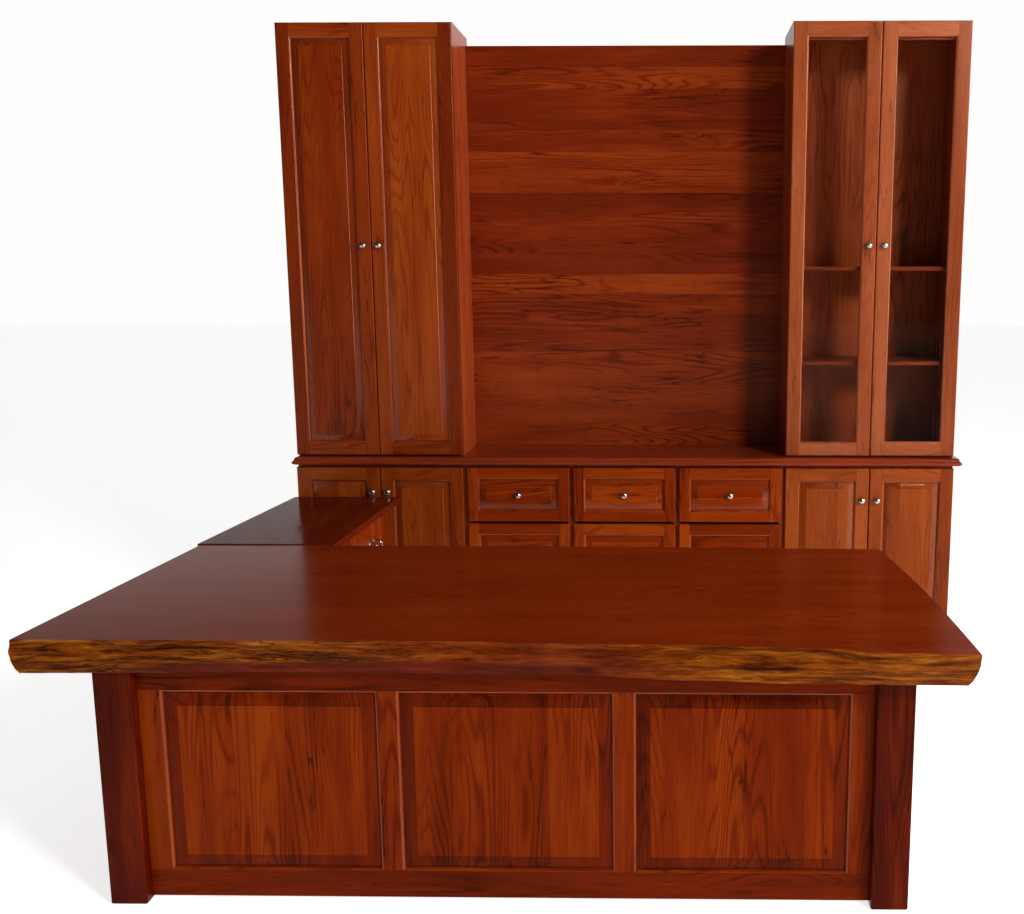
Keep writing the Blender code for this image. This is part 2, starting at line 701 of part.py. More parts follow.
def add_desk_sides():
    length = DESK_BASE_DEPTH - 2 * POST - 2 * JOINT_GAP
    height = DESK_UNDER - FRAME_FLOOR_GAP
    middle_y = (DESK_BASE_FRONT + DESK_BASE_BACK) / 2
    middle_z = (FRAME_FLOOR_GAP + DESK_UNDER) / 2
    levels = raised_levels(SIDE_FRAME_WIDTH, FRAME_THICKNESS, FRONT_BEVEL)
    inset = FRAME_SET_IN + FRAME_THICKNESS
    for label, x, turn in (
        ("left", DESK_BASE_LEFT + inset, -math.pi / 2),
        ("right", DESK_BASE_RIGHT - inset, math.pi / 2),
    ):
        shape = leaf_shape(length, height, levels)
        add(f"desk_side_panel_{label}", shape, PANEL_WOOD, at=(x, middle_y, middle_z), turn=turn)


def add_apron():
    left = DESK_BASE_LEFT + POST + JOINT_GAP
    right = pedestal_left() - JOINT_GAP
    near = DESK_BASE_BACK - FRAME_SET_IN - APRON_THICKNESS
    low = (left, near, DESK_UNDER - APRON_HEIGHT)
    block("desk_rear_apron", low, (right, near + APRON_THICKNESS, DESK_UNDER), PANEL_WOOD, 0.002)


def pedestal_left():
    return DESK_BASE_RIGHT - POST - JOINT_GAP - PEDESTAL_WIDTH


def add_pedestal():
    """Three drawers on the sitter's side of the desk."""
    left = pedestal_left()
    right = left + PEDESTAL_WIDTH
    far = DESK_BASE_BACK - LEAF - BUMPER_GAP
    near = far - PEDESTAL_DEPTH
    floor, ceiling = PEDESTAL_PLINTH + BOARD, DESK_UNDER - BOARD
    cavity = ((left + BOARD, near + BACK_BOARD, floor), (right - BOARD, far + 0.01, ceiling))
    carcass("desk_pedestal", (left, near, 0), (right, far, DESK_UNDER), [cavity], CASE_WOOD)
    bottom, top = PEDESTAL_PLINTH, DESK_UNDER - PEDESTAL_FRONT_TOP_GAP
    height = (top - bottom - (PEDESTAL_ROWS - 1) * LEAF_GAP) / PEDESTAL_ROWS
    width = PEDESTAL_WIDTH - 2 * REVEAL
    opening = PEDESTAL_WIDTH - 2 * BOARD
    for row, label in enumerate(("top", "middle", "bottom")):
        middle = top - height / 2 - row * (height + LEAF_GAP)
        centre = ((left + right) / 2, far + BUMPER_GAP, middle)
        name = f"desk_drawer_{label}"
        add_drawer(name, centre, width, height, opening, PEDESTAL_TRAY_DEPTH, turn=math.pi)


# ---------------------------------------------------------------- return
def add_return_top(near):
    """The return's top, a little wider at the desk than at the wall unit."""
    near_left = RETURN_LEFT - RETURN_NEAR_OUTSET
    middle = Vector((RETURN_LEFT, (near + RETURN_FAR) / 2, RETURN_HEIGHT - RETURN_TOP / 2))

    def loop(z):
        corners = (
            (near_left, near),
            (RETURN_NEAR_RIGHT, near),
            (RETURN_LEFT + RETURN_FAR_WIDTH, RETURN_FAR),
            (RETURN_LEFT, RETURN_FAR),
        )
        return [Vector((x, y, z)) - middle for x, y in corners]

    shape = loft([loop(RETURN_HEIGHT - RETURN_TOP), loop(RETURN_HEIGHT)])
    made = add("return_top", shape, SLAB_WOOD, at=middle)
    soften = made.modifiers.new("rounding", "BEVEL")
    soften.width = RETURN_TOP_ROUND
    soften.segments = 2


def add_return():
    return_near = max(point.y for point in slab_points()) + RETURN_SLAB_GAP
    add_return_top(return_near)

    left = RETURN_LEFT + RETURN_OVERHANG
    near, far = RETURN_CABINET_NEAR, RETURN_CABINET_FAR
    face = RETURN_CARCASS_FACE
    floor, ceiling = RETURN_PLINTH + BOARD, RETURN_UNDER - BOARD
    inside = left + BACK_BOARD
    past = face + 0.01
    cavities = [
        ((inside, near + BOARD, low_z), (past, far - BOARD, high_z))
        for low_z, high_z in ((floor, RETURN_SHELF), (RETURN_SHELF + BOARD, ceiling))
    ]
    carcass("return_cabinet", (left, near, 0), (face, far, RETURN_UNDER), cavities, CASE_WOOD)

    low = (left + RETURN_BACK_SET_IN, return_near + RETURN_OVERHANG, 0)
    high = (left + RETURN_BACK_SET_IN + RETURN_BACK, near - JOINT_GAP, RETURN_UNDER)
    block("return_back_panel", low, high, CASE_WOOD, 0.002)

    bottom, top = RETURN_PLINTH, RETURN_UNDER - REVEAL
    middle = (near + far) / 2
    width = (far - near - 2 * REVEAL - LEAF_GAP) / 2
    height = top - bottom
    levels = [(0.0, 0.0), (0.0, RETURN_LEAF - 0.002), (0.002, RETURN_LEAF)]
    for side, label in ((-1, "near"), (1, "far")):
        hinge_y = middle + side * (width + LEAF_GAP / 2)
        axis = pivot(f"return_door_{label}_hinge", (RETURN_FACE, hinge_y, (bottom + top) / 2), math.pi / 2)
        centre = (-side * width / 2, RETURN_LEAF, 0)
        add(f"return_door_{label}", leaf_shape(width, height, levels), DOOR_WOOD, at=centre, parent=axis)
        pull_z = height / 2 - PULL_TOP - PULL_LENGTH / 2
        add_pull(f"return_pull_{label}", (-side * (width - PULL_FROM_EDGE), -JOINT_GAP, pull_z), axis)


def add_desk():
    add_slab()
    add_posts()
    add_desk_front()
    add_desk_sides()
    add_apron()
    add_pedestal()
    add_return()


# ---------------------------------------------------------------- the suite
def suite_shift():
    """Takes the room's origin to the bottom centre of the suite's box."""
    slab = slab_points()
    left = min(point.x for point in slab)
    right = UNIT_HALF + COUNTER_RIGHT_OVERHANG
    near = min(point.y for point in slab)
    return (-(left + right) / 2, -near / 2, 0)


for old in list(bpy.data.objects):
    bpy.data.objects.remove(old)

SLAB_WOOD = material("slab_wood", (0.19, 0.030, 0.010), 0.18)
DOOR_WOOD = material("door_wood", (0.25, 0.045, 0.010), 0.28)
DISPLAY_WOOD = material("display_door_wood", (0.33, 0.080, 0.030), 0.30)
CASE_WOOD = material("case_wood", (0.17, 0.025, 0.007), 0.32)
PLANK_WOOD = material("plank_wood", (0.20, 0.030, 0.008), 0.30)
PANEL_WOOD = material("desk_panel_wood", (0.18, 0.025, 0.007), 0.26)
POST_WOOD = material("post_wood", (0.07, 0.010, 0.005), 0.30)
STEEL = material("polished_steel", (0.62, 0.60, 0.60), 0.18, metallic=1.0)
CLEAR_GLASS = material("clear_glass", (0.90, 0.94, 0.94), 0.02, alpha=0.25)

suite = bpy.data.objects.new("suite", None)
bpy.context.scene.collection.objects.link(suite)
suite.location = suite_shift()

add_wall_unit()
add_desk()
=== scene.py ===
"""The looks of an executive office suite in glossy red-brown hardwood.

A live-edge desk with a return stands in front of a wall unit with framed doors, nine drawers,
a planked niche and a glazed display cabinet. Everything is in metres, in the frame's own axes:
X to the right, Y towards the wall, Z up.
"""

import math
import random

import bmesh
import bpy
from mathutils import Matrix, Vector, noise


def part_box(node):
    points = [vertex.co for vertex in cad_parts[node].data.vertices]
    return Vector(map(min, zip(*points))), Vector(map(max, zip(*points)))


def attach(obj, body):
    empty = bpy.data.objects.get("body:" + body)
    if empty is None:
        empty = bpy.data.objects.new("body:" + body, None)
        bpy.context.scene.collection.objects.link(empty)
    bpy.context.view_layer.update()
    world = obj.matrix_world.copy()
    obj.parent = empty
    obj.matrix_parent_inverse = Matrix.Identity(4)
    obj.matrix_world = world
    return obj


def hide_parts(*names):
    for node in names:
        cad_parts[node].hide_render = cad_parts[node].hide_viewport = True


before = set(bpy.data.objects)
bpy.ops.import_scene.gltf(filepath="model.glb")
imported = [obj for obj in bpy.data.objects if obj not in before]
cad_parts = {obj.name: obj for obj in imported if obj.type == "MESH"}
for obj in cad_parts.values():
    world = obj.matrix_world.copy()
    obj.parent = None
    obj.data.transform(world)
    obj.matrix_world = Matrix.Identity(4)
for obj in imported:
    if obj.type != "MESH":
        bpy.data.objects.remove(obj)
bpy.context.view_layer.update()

# ---- sizes shared by the leaves
JOINT_LINE = 0.0004  # how far a board's edge falls back at a glued joint
LEAF = 0.022
LEAF_ROUND = 0.005
ARC_STEPS = 4
DOOR_FRAME = 0.062
DRAWER_FRAME = 0.052
MOULD_WIDTH = 0.007
MOULD_DEPTH = 0.009
BEVEL_WIDTH = 0.026
FRONT_BEVEL = 0.036
FIELD_DROP = 0.003  # in the frame's own leaves
FIELD_RELIEF = 0.0008  # from the frame's face down to the raised field
FIELD_STEP = 0.0014
# Painted shade: tones added to a raised panel's bevel, so that it reads darker than the field.
BEVEL_PAINTED_SHADE = -0.45
FRONT_BEVEL_PAINTED_SHADE = -1.1  # the desk front's
PANEL_BACK = 0.004
REBATE_WIDTH = 0.009
REBATE_DEPTH = 0.009

# ---- drawers and hardware
KNOB_LENGTH = 0.027
KNOB_RADIUS = 0.0135
TRAY_WALL = 0.012
TRAY_FLOOR = 0.008
TRAY_BELOW_TOP = 0.040
TRAY_ABOVE_FOOT = 0.022
WALL_TRAY_INSET = 0.0219  # from a drawer front's side to its tray
DESK_TRAY_INSET = 0.027
RUNNER_GAP = 0.013
RUNNER_HEIGHT = 0.034
RUNNER_STEEL = 0.0012
PULL_LENGTH = 0.128
PULL_REACH = 0.030
PULL_RADIUS = 0.0048
PULL_CORNER = 0.014

# ---- desk and wall unit
FRONT_BOTTOM_RAIL = 0.092  # height of the openings' foot
FRONT_TOP_RAIL = 0.074
PANEL_TONGUE = 0.010
SIDE_FRAME_WIDTH = 0.080
POST_ROUND = 0.004
SLAB_SIDES = (40, 10, 40, 10)  # points along the slab's front, right end, back and left end
SLAB_FINE = (16, 5, 8, 5)  # how many times each of those stretches is divided
SLAB_ROWS = 24  # below the rim
SLAB_RIM = 0.09  # share of the slab's thickness that the rounded upper rim takes
# The niche's planks from the top down: the height of each one's lower edge, and its tone.
NICHE_PLANKS = (
    (2.597, -0.7), (2.505, 0.6), (2.331, -0.5), (2.237, 0.0), (2.061, 0.7), (1.978, -0.8),
    (1.799, -0.2), (1.706, -0.5), (1.617, 1.0), (1.358, 0.1), (0.0, 0.5),
)
PLANK_GROOVE = 0.0008
SHELF_LIPPING = 0.022
RETURN_LIPPING = 0.009
RETURN_BOARDS = 4  # in its back
SHELF_ROUND = 0.004
PLANK_CONTRAST = 0.7  # how much of those tones shows
LACQUER_TINT = (1.0, 0.62, 0.45, 1.0)
MOULDING_GLOSS = 0.50
WALL_WHITE = (1.0, 0.99, 0.985, 1.0)


def place_new(name, data, at=(0, 0, 0)):
    """A new object in the scene."""
    made = bpy.data.objects.new(name, data)
    bpy.context.scene.collection.objects.link(made)
    made.location = at
    return made


def middle_of(low, high, **fixed):
    """The middle of a box, with one coordinate or more given instead."""
    middle = (low + high) / 2
    for axis, value in fixed.items():
        setattr(middle, axis, value)
    return middle


def tint(red, green, blue):
    """A colour from its usual 0 to 255 values to linear light."""
    shares = [value / 255 for value in (red, green, blue)]
    dark = 10 / 255
    return [share / 12.92 if share <= dark else ((share + 0.055) / 1.055) ** 2.4 for share in shares] + [1.0]


# ---- material building
class Nodes:
    """The node tree of a new material or world, with short ways to add to it."""

    def __init__(self, name, owners=bpy.data.materials):
        self.owner = owners.new(name)
        self.owner.use_nodes = True
        self.tree = self.owner.node_tree
        self.tree.nodes.clear()

    def add(self, kind, inputs=(), **settings):
        made = self.tree.nodes.new("ShaderNode" + kind)
        for key, value in settings.items():
            setattr(made, key, value)
        for key, value in dict(inputs).items():
            if isinstance(value, bpy.types.NodeSocket):
                self.tree.links.new(value, made.inputs[key])
            else:
                made.inputs[key].default_value = value
        return made

    def maths(self, operation, *values):
        return self.add("Math", enumerate(values), operation=operation).outputs[0]

    def noise(self, vector, scale, detail=2.0, roughness=0.5, distortion=0.0):
        inputs = {
            "Vector": self.add("VectorMath", {0: vector, 1: scale}, operation="MULTIPLY").outputs[0],
            "Scale": 1.0,
            "Detail": detail,
            "Roughness": roughness,
            "Distortion": distortion,
        }
        return self.add("TexNoise", inputs).outputs[0]

    def fade(self, value, start, end, low=0.0, high=1.0):
        inputs = {"Value": value, "From Min": start, "From Max": end, "To Min": low, "To Max": high}
        return self.add("MapRange", inputs, interpolation_type="SMOOTHSTEP").outputs["Result"]

    def ramp(self, value, *stops):
        made = self.add("ValToRGB", {"Fac": value})
        elements = made.color_ramp.elements
        while len(elements) < len(stops):
            elements.new(0.5)
        for element, (place, colour) in zip(elements, stops):
            element.position = place
            element.color = colour
        return made.outputs["Color"]

    def mix(self, share, first, second):
        return self.add("Mix", {0: share, 6: first, 7: second}, data_type="RGBA").outputs[2]

    def times(self, first, second):
        return self.maths("MULTIPLY", first, second)

    def plus(self, first, second):
        return self.maths("ADD", first, second)

    def place(self):
        """Where a point lies in its own piece."""
        return self.add("TexCoord").outputs["Object"]

    def centred(self, value, gain):
        """How far a value is above a half, times gain."""
        return self.times(self.maths("SUBTRACT", value, 0.5), gain)

    def distance(self, value, middle):
        """How far a value is from a middle, on either side."""
        return self.maths("ABSOLUTE", self.maths("SUBTRACT", value, middle))

    def darken(self, colour, share):
        """The colour times one minus share."""
        keep = self.maths("SUBTRACT", 1.0, share)
        return self.add("VectorMath", {0: colour, 3: keep}, operation="SCALE").outputs[0]

    def shader(self, colour, roughness, height=None, relief=0.001, **constants):
        inputs = {"Base Color": colour, "Roughness": roughness}
        if height is not None:
            bump = self.add("Bump", {"Height": height, "Strength": 1.0, "Distance": relief})
            inputs["Normal"] = bump.outputs["Normal"]
        inputs.update(constants)
        return self.finish(self.add("BsdfPrincipled", inputs))

    def finish(self, shader):
        self.add("OutputMaterial", {"Surface": shader.outputs[0]})
        return self.owner


def grain_vector(nodes, run):
    """Where a point lies along, across and through its timber."""
    if run == "piece":
        return nodes.add("Attribute", attribute_name="grain").outputs["Vector"]
    place = nodes.add("TexCoord")
    parts = nodes.add("SeparateXYZ", {0: place.outputs["Object"]}).outputs
    upright, level, deep = [
        nodes.add("CombineXYZ", enumerate(parts[axis] for axis in order)).outputs[0]
        for order in ((2, 0, 1), (0, 1, 2), (1, 0, 2))
    ]
    if run in ("level", "deep"):
        return level if run == "level" else deep
    facing = nodes.add("SeparateXYZ", {0: place.outputs["Normal"]}).outputs[2]
    flat = nodes.maths("GREATER_THAN", nodes.maths("ABSOLUTE", facing), 0.5)
    return nodes.add("Mix", {0: flat, 4: upright, 5: level}, data_type="VECTOR").outputs[1]


def wood(name, shades, roughness, run="piece", figure=1.0, veins=0.5, mottle=1.0, gloss=0.16, ior=1.5):
    """Lacquered hardwood from a dark, a middle and a light shade.

    It has growth lines, fibres, short dark flecks, thin veins, pores and slow changes of tone.
    """
    nodes = Nodes(name)
    place = grain_vector(nodes, run)
    wide = nodes.noise(place, (0.9, 4.5, 4.5), 2.0)
    shift = nodes.centred(wide, 0.07)
    sideways = nodes.add("CombineXYZ", {1: shift, 2: shift}).outputs[0]
    bent = nodes.add("VectorMath", {0: place, 1: sideways}, operation="ADD").outputs[0]
    rings = nodes.noise(bent, (0.62, 7.0, 7.0), 1.5, 0.45, 0.2)
    wave = nodes.maths("MULTIPLY_ADD", nodes.maths("SINE", nodes.times(rings, 165.0)), 0.5, 0.5)
    line = nodes.maths("POWER", wave, 4.0)
    region = nodes.fade(nodes.noise(place, (1.1, 4.0, 4.0), 1.0), 0.42, 0.62)
    growth = nodes.times(line, nodes.times(region, 0.24 * figure))
    fibre = nodes.noise(bent, (5.0, 190.0, 190.0), 3.0, 0.6)
    cloud = nodes.noise(place, (1.5, 12.0, 12.0), 3.0, 0.55)
    fleck = nodes.fade(nodes.noise(bent, (17.0, 125.0, 125.0), 2.0, 0.6), 0.60, 0.74)
    pores = nodes.fade(nodes.noise(bent, (26.0, 900.0, 900.0), 1.0), 0.60, 0.72)
    # The tone attribute holds each board's own tone, plus the painted shade that panel() adds on bevels.
    tone = nodes.add("Attribute", attribute_name="tone").outputs["Fac"]
    shade = nodes.maths("SUBTRACT", 0.54, growth)
    shade = nodes.plus(shade, nodes.centred(fibre, 0.34))
    shade = nodes.plus(shade, nodes.centred(cloud, 0.55 * mottle))
    shade = nodes.maths("MULTIPLY_ADD", tone, 0.20, shade)
    colour = nodes.ramp(shade, *zip((0.14, 0.50, 0.86), [tint(*colour) for colour in shades]))
    path = nodes.distance(nodes.noise(bent, (1.5, 17.0, 17.0), 3.0, 0.6), 0.52)
    patches = nodes.fade(nodes.noise(place, (2.3, 7.0, 7.0), 1.0), 0.54, 0.66)
    vein = nodes.times(nodes.fade(path, 0.018, 0.0, 0.0, veins), patches)
    colour = nodes.darken(colour, vein)
    colour = nodes.darken(colour, nodes.times(fleck, 0.34))
    colour = nodes.darken(colour, nodes.times(pores, 0.18))
    rough = nodes.maths("MULTIPLY_ADD", cloud, 0.08, roughness - 0.04)
    rough = nodes.maths("MULTIPLY_ADD", pores, 0.10, rough)
    height = nodes.maths("MULTIPLY_ADD", fibre, 0.35, nodes.times(pores, -0.5))
    lacquer = {"Specular IOR Level": gloss, "Specular Tint": LACQUER_TINT, "IOR": ior}
    return nodes.shader(colour, rough, height, 0.00007, **lacquer)


def moulded_wood(name, shades, roughness, **looks):
    """A finish for boards, and the same one polished brighter for their mouldings."""
    boards = wood(name, shades, roughness, **looks)
    looks["gloss"] = MOULDING_GLOSS
    return boards, wood(f"{name}_moulding", shades, roughness - 0.06, **looks)


def live_edge_material():
    """The slab's natural edge: golden sapwood with brown streaks and flakes, and red heartwood low down."""
    nodes = Nodes("live_edge")
    place = nodes.place()
    parts = nodes.add("SeparateXYZ", {0: place}).outputs
    low = nodes.add("Attribute", attribute_name="depth").outputs["Fac"]
    bend = nodes.noise(place, (2.4, 6.0, 16.0), 3.0, 0.6)
    lift = nodes.add("CombineXYZ", {2: nodes.centred(bend, 0.055)}).outputs[0]
    bent = nodes.add("VectorMath", {0: place, 1: lift}, operation="ADD").outputs[0]
    streak = nodes.noise(bent, (5.0, 20.0, 75.0), 5.0, 0.66, 0.3)
    fine = nodes.noise(bent, (26.0, 60.0, 420.0), 3.0, 0.6)
    patch = nodes.noise(bent, (4.0, 9.0, 24.0), 3.0, 0.6, 0.4)
    shade = nodes.maths("MULTIPLY_ADD", fine, 0.40, nodes.times(streak, 1.15))
    shade = nodes.maths("MULTIPLY_ADD", patch, 0.75, nodes.maths("SUBTRACT", shade, 0.66))
    gold = nodes.ramp(shade, (0.22, tint(40, 11, 3)), (0.42, tint(92, 38, 5)), (0.56, tint(124, 60, 9)),
                      (0.78, tint(160, 98, 24)))
    smooth = nodes.ramp(shade, (0.20, tint(62, 16, 3)), (0.48, tint(100, 34, 5)), (0.80, tint(140, 66, 14)))
    centre = nodes.times(nodes.fade(parts[0], -0.75, -0.30), nodes.fade(parts[0], 0.40, 0.05))
    colour = nodes.mix(centre, gold, smooth)
    crack = nodes.distance(nodes.noise(bent, (3.2, 16.0, 58.0), 5.0, 0.68), 0.5)
    open_cracks = nodes.fade(parts[0], -0.1, -0.8, 0.45, 0.9)
    colour = nodes.darken(colour, nodes.times(nodes.fade(crack, 0.035, 0.0), open_cracks))
    heart = nodes.ramp(shade, (0.2, tint(46, 9, 3)), (0.8, tint(104, 30, 8)))
    border = nodes.maths("MULTIPLY_ADD", patch, 0.36, nodes.maths("SUBTRACT", low, 0.18))
    reach = nodes.times(nodes.fade(parts[0], -1.30, -1.00), nodes.fade(parts[0], 0.30, -0.05))
    colour = nodes.mix(nodes.times(nodes.fade(border, 0.60, 0.72), reach), colour, heart)
    height = nodes.maths("MULTIPLY_ADD", streak, 0.6, nodes.times(fine, 0.4))
    lacquer = {"Specular IOR Level": 0.10, "Specular Tint": LACQUER_TINT}
    return nodes.shader(colour, nodes.fade(streak, 0.3, 0.7, 0.44, 0.28), height, 0.0012, **lacquer)


def end_grain_material():
    """Sawn end grain: growth rings in dark heartwood, with a fine speckle."""
    nodes = Nodes("end_grain")
    place = nodes.place()
    warp = nodes.noise(place, (4.0, 5.0, 9.0), 2.0)
    parts = nodes.add("SeparateXYZ", {0: place}).outputs
    rings = nodes.maths("SINE", nodes.maths("MULTIPLY_ADD", warp, 9.0, nodes.times(parts[2], 150.0)))
    speck = nodes.noise(place, (300.0, 300.0, 300.0), 2.0)
    shade = nodes.maths("MULTIPLY_ADD", rings, 0.16, speck)
    colour = nodes.ramp(shade, (0.25, tint(44, 14, 6)), (0.55, tint(88, 34, 14)), (0.85, tint(124, 58, 24)))
    lacquer = {"Specular IOR Level": 0.16, "Specular Tint": LACQUER_TINT}
    return nodes.shader(colour, nodes.fade(speck, 0.3, 0.7, 0.36, 0.46), shade, 0.0004, **lacquer)


def metal_material():
    """Polished chrome with faint wear."""
    nodes = Nodes("polished_chrome")
    haze = nodes.noise(nodes.place(), (120.0, 120.0, 120.0), 3.0)
    colour = nodes.ramp(haze, (0.3, tint(156, 152, 152)), (0.7, tint(186, 182, 182)))
    rough = nodes.fade(haze, 0.35, 0.7, 0.10, 0.17)
    return nodes.shader(colour, rough, haze, 0.00002, Metallic=1.0)


def zinc_material():
    """Drawer runners in plated steel, with a rolled grain."""
    nodes = Nodes("plated_steel")
    roll = nodes.noise(nodes.place(), (900.0, 6.0, 900.0), 2.0)
    colour = nodes.ramp(roll, (0.3, tint(120, 122, 126)), (0.7, tint(158, 160, 164)))
    return nodes.shader(colour, nodes.fade(roll, 0.3, 0.7, 0.30, 0.42), roll, 0.00003, Metallic=1.0)


def glass_material():
    """Clear float glass that lets the light through to the shelves."""
    nodes = Nodes("clear_pane")
    wave = nodes.noise(nodes.place(), (3.0, 3.0, 2.0), 1.0)
    tinted = nodes.ramp(wave, (0.3, tint(246, 250, 248)), (0.7, tint(250, 252, 251)))
    through = nodes.add("BsdfTransparent", {"Color": tinted})
    mirror = nodes.add("BsdfGlossy", {"Color": (1, 1, 1, 1), "Roughness": 0.02})
    angle = nodes.add("Fresnel", {"IOR": 1.10})
    both = nodes.add("MixShader", {0: angle.outputs[0], 1: through.outputs[0], 2: mirror.outputs[0]})
    return nodes.finish(both)


def floor_material():
    """A pale floor that glows softly, so that the suite's shadow on it stays faint."""
    nodes = Nodes("pale_floor")
    place = nodes.place()
    cloud = nodes.noise(place, (0.6, 0.6, 0.6), 2.0)
    colour = nodes.ramp(cloud, (0.3, tint(240, 240, 240)), (0.7, tint(244, 244, 244)))
    glow = {"Emission Color": (1.0, 1.0, 1.0, 1.0), "Emission Strength": 0.76, "Specular IOR Level": 0.1}
    return nodes.shader(colour, nodes.fade(cloud, 0.3, 0.7, 0.55, 0.62), **glow)


# ---- solids in one mesh
GRAIN_AXES = {"x": (0, 1, 2), "y": (1, 2, 0), "z": (2, 0, 1)}  # along, across and through the grain


def upright_ring(across, up, y):
    """The corners of a rectangle in an upright plane at y."""
    return [Vector((x, y, z)) for x, z in zip((*across, *reversed(across)), (up[0], up[0], up[1], up[1]))]


def arc(middle, radius, start):
    """A quarter turn in plan, anticlockwise from a start in degrees."""
    angles = [math.radians(start + 90 * step / ARC_STEPS) for step in range(ARC_STEPS + 1)]
    return [middle + Vector((math.cos(angle), math.sin(angle), 0)) * radius for angle in angles]


class Piece:
    """One visible piece: closed solids in one mesh, each with its own run of grain and its own tone."""

    def __init__(self, name, tone=None):
        self.name = name
        self.mesh = bmesh.new()
        self.grain = self.mesh.verts.layers.float_vector.new("grain")
        self.tone = self.mesh.verts.layers.float.new("tone")
        self.random = random.Random(name)
        self.base_tone = tone

    def mark(self, verts, along, tone):
        """Gives one board its run of grain and its tone."""
        start = Vector([self.random.uniform(-20, 20) for _ in range(3)])
        chance = self.random.uniform(-0.8, 0.8)
        if tone is None:
            tone = chance if self.base_tone is None else self.base_tone + 0.4 * chance
        order = GRAIN_AXES[along]
        for vert in verts:
            vert[self.grain] = Vector([vert.co[axis] for axis in order]) + start
            vert[self.tone] = tone

    def loft(self, loops, along="x", tone=None):
        """A solid through loops of equal length, capped at both ends."""
        rings = [[self.mesh.verts.new(point) for point in loop] for loop in loops]
        faces = []
        for first, second in zip(rings, rings[1:]):
            for here in range(len(first)):
                after = (here + 1) % len(first)
                faces.append(self.mesh.faces.new((first[here], first[after], second[after], second[here])))
        faces += [self.mesh.faces.new(ring) for ring in (rings[0], rings[-1])]
        bmesh.ops.recalc_face_normals(self.mesh, faces=faces)
        self.mark([vert for ring in rings for vert in ring], along, tone)
        return faces

    def cut(self, faces, axis, places, along, tones):
        """Saws a solid into boards at places along an axis, and returns their corners."""
        edges = [-math.inf, *places, math.inf]
        whole = bmesh.new()
        copies = {}
        for face in faces:
            for vert in face.verts:
                if vert not in copies:
                    copies[vert] = whole.verts.new(vert.co)
        for face in faces:
            whole.faces.new([copies[vert] for vert in face.verts])
        bmesh.ops.delete(self.mesh, geom=list(copies), context="VERTS")
        normal = Vector([1.0 if axis == number else 0.0 for number in range(3)])
        boards = []
        for (low, high), tone in zip(zip(edges, edges[1:]), tones):
            part = whole.copy()
            for place, side in ((low, -1), (high, 1)):
                if math.isfinite(place):
                    geometry = part.verts[:] + part.edges[:] + part.faces[:]
                    at = normal * (place - side * JOINT_LINE / 4)
                    bmesh.ops.bisect_plane(
                        part, geom=geometry, plane_co=at, plane_no=normal * side, clear_outer=True
                    )
                    open_edges = [edge for edge in part.edges if edge.is_boundary]
                    bmesh.ops.holes_fill(part, edges=open_edges)
            bmesh.ops.recalc_face_normals(part, faces=part.faces)
            made = {vert: self.mesh.verts.new(vert.co) for vert in part.verts}
            for face in part.faces:
                self.mesh.faces.new([made[vert] for vert in face.verts])
            self.mark(made.values(), along, tone)
            boards += made.values()
            part.free()
        whole.free()
        return boards

    def board(self, across, up, depths, along, rounding=(0, 0, 0, 0), tone=None):
        """A board facing -Y, with rounded left, right, foot and top edges. Depth grows to its face."""
        radii = [radius or JOINT_LINE for radius in rounding]
        deepest = max(radii)
        levels = [(0.0, depths[0])]
        for step in range(ARC_STEPS + 1):
            angle = math.pi / 2 * step / ARC_STEPS
            levels.append((1 - math.cos(angle), depths[1] - deepest * (1 - math.sin(angle))))
        loops = []
        for share, depth in levels:
            left, right, foot, top = [radius * share for radius in radii]
            span, rise = (across[0] + left, across[1] - right), (up[0] + foot, up[1] - top)
            loops.append(upright_ring(span, rise, -depth))
        return self.loft(loops, along, tone)

    def mouldings(self, across, up, foot, face, tone=None):
        """The mitred sticking round an opening, from the panel's flat up to the frame's face."""
        profile = [(MOULD_WIDTH, foot), (MOULD_WIDTH, face), (MOULD_WIDTH - 0.0008, face - 0.0009)]
        for step in range(1, ARC_STEPS + 2):
            angle = math.pi / 2 * step / (ARC_STEPS + 1)
            out = (MOULD_WIDTH - 0.0008) * (1 - math.sin(angle))
            profile.append((out, face - 0.0009 - (MOULD_DEPTH - 0.0009) * (1 - math.cos(angle))))
        profile.append((0.0, foot))
        corners = [
            [Vector((across[i] + (out if i else -out), -depth, up[j] + (out if j else -out)))
             for out, depth in profile]
            for i, j in ((0, 0), (1, 0), (1, 1), (0, 1))
        ]
        for number, along in enumerate("xzxz"):
            for face in self.loft([corners[number], corners[(number + 1) % 4]], along, tone):
                face.material_index = 1

    def panel(self, across, up, back, flat, field, bevel, along, cuts=(), tones=()):
        """A raised panel with a swelling bevel, in one piece or sawn into boards. Its bevel is darkened with
        painted shade.
        """
        tongue = MOULD_WIDTH - 0.0003
        levels = [(-tongue, back), (-tongue, flat), (0.002, flat)]
        for step in range(1, ARC_STEPS + 1):
            share = step / ARC_STEPS
            rise = 1.6 * share - 0.6 * share * share
            levels.append((0.002 + (bevel - 0.002) * share, flat + (field - FIELD_STEP - flat) * rise))
        levels += [(bevel + 0.0006, field - 0.0007), (bevel + 0.0016, field)]
        loops = []
        for inset, depth in levels:
            span, rise = [(low + inset, high - inset) for low, high in (across, up)]
            loops.append(upright_ring(span, rise, -depth))
        faces = self.loft(loops, along, tones[0] if tones else None)
        verts = {vert for face in faces for vert in face.verts}
        if cuts:
            span = across if along == "z" else up
            places = [span[0] + share * (span[1] - span[0]) for share in cuts]
            verts = self.cut(faces, 0 if along == "z" else 2, places, along, tones)
        # Painted shade: points on the bevel get a lower tone; the wall unit's bevels also take the glossier
        # moulding finish.
        desk = bevel == FRONT_BEVEL
        for vert in verts:
            if -vert.co.y < field - 0.0004:
                vert[self.tone] += FRONT_BEVEL_PAINTED_SHADE if desk else BEVEL_PAINTED_SHADE
                for face in vert.link_faces:
                    face.material_index = 0 if desk else 1

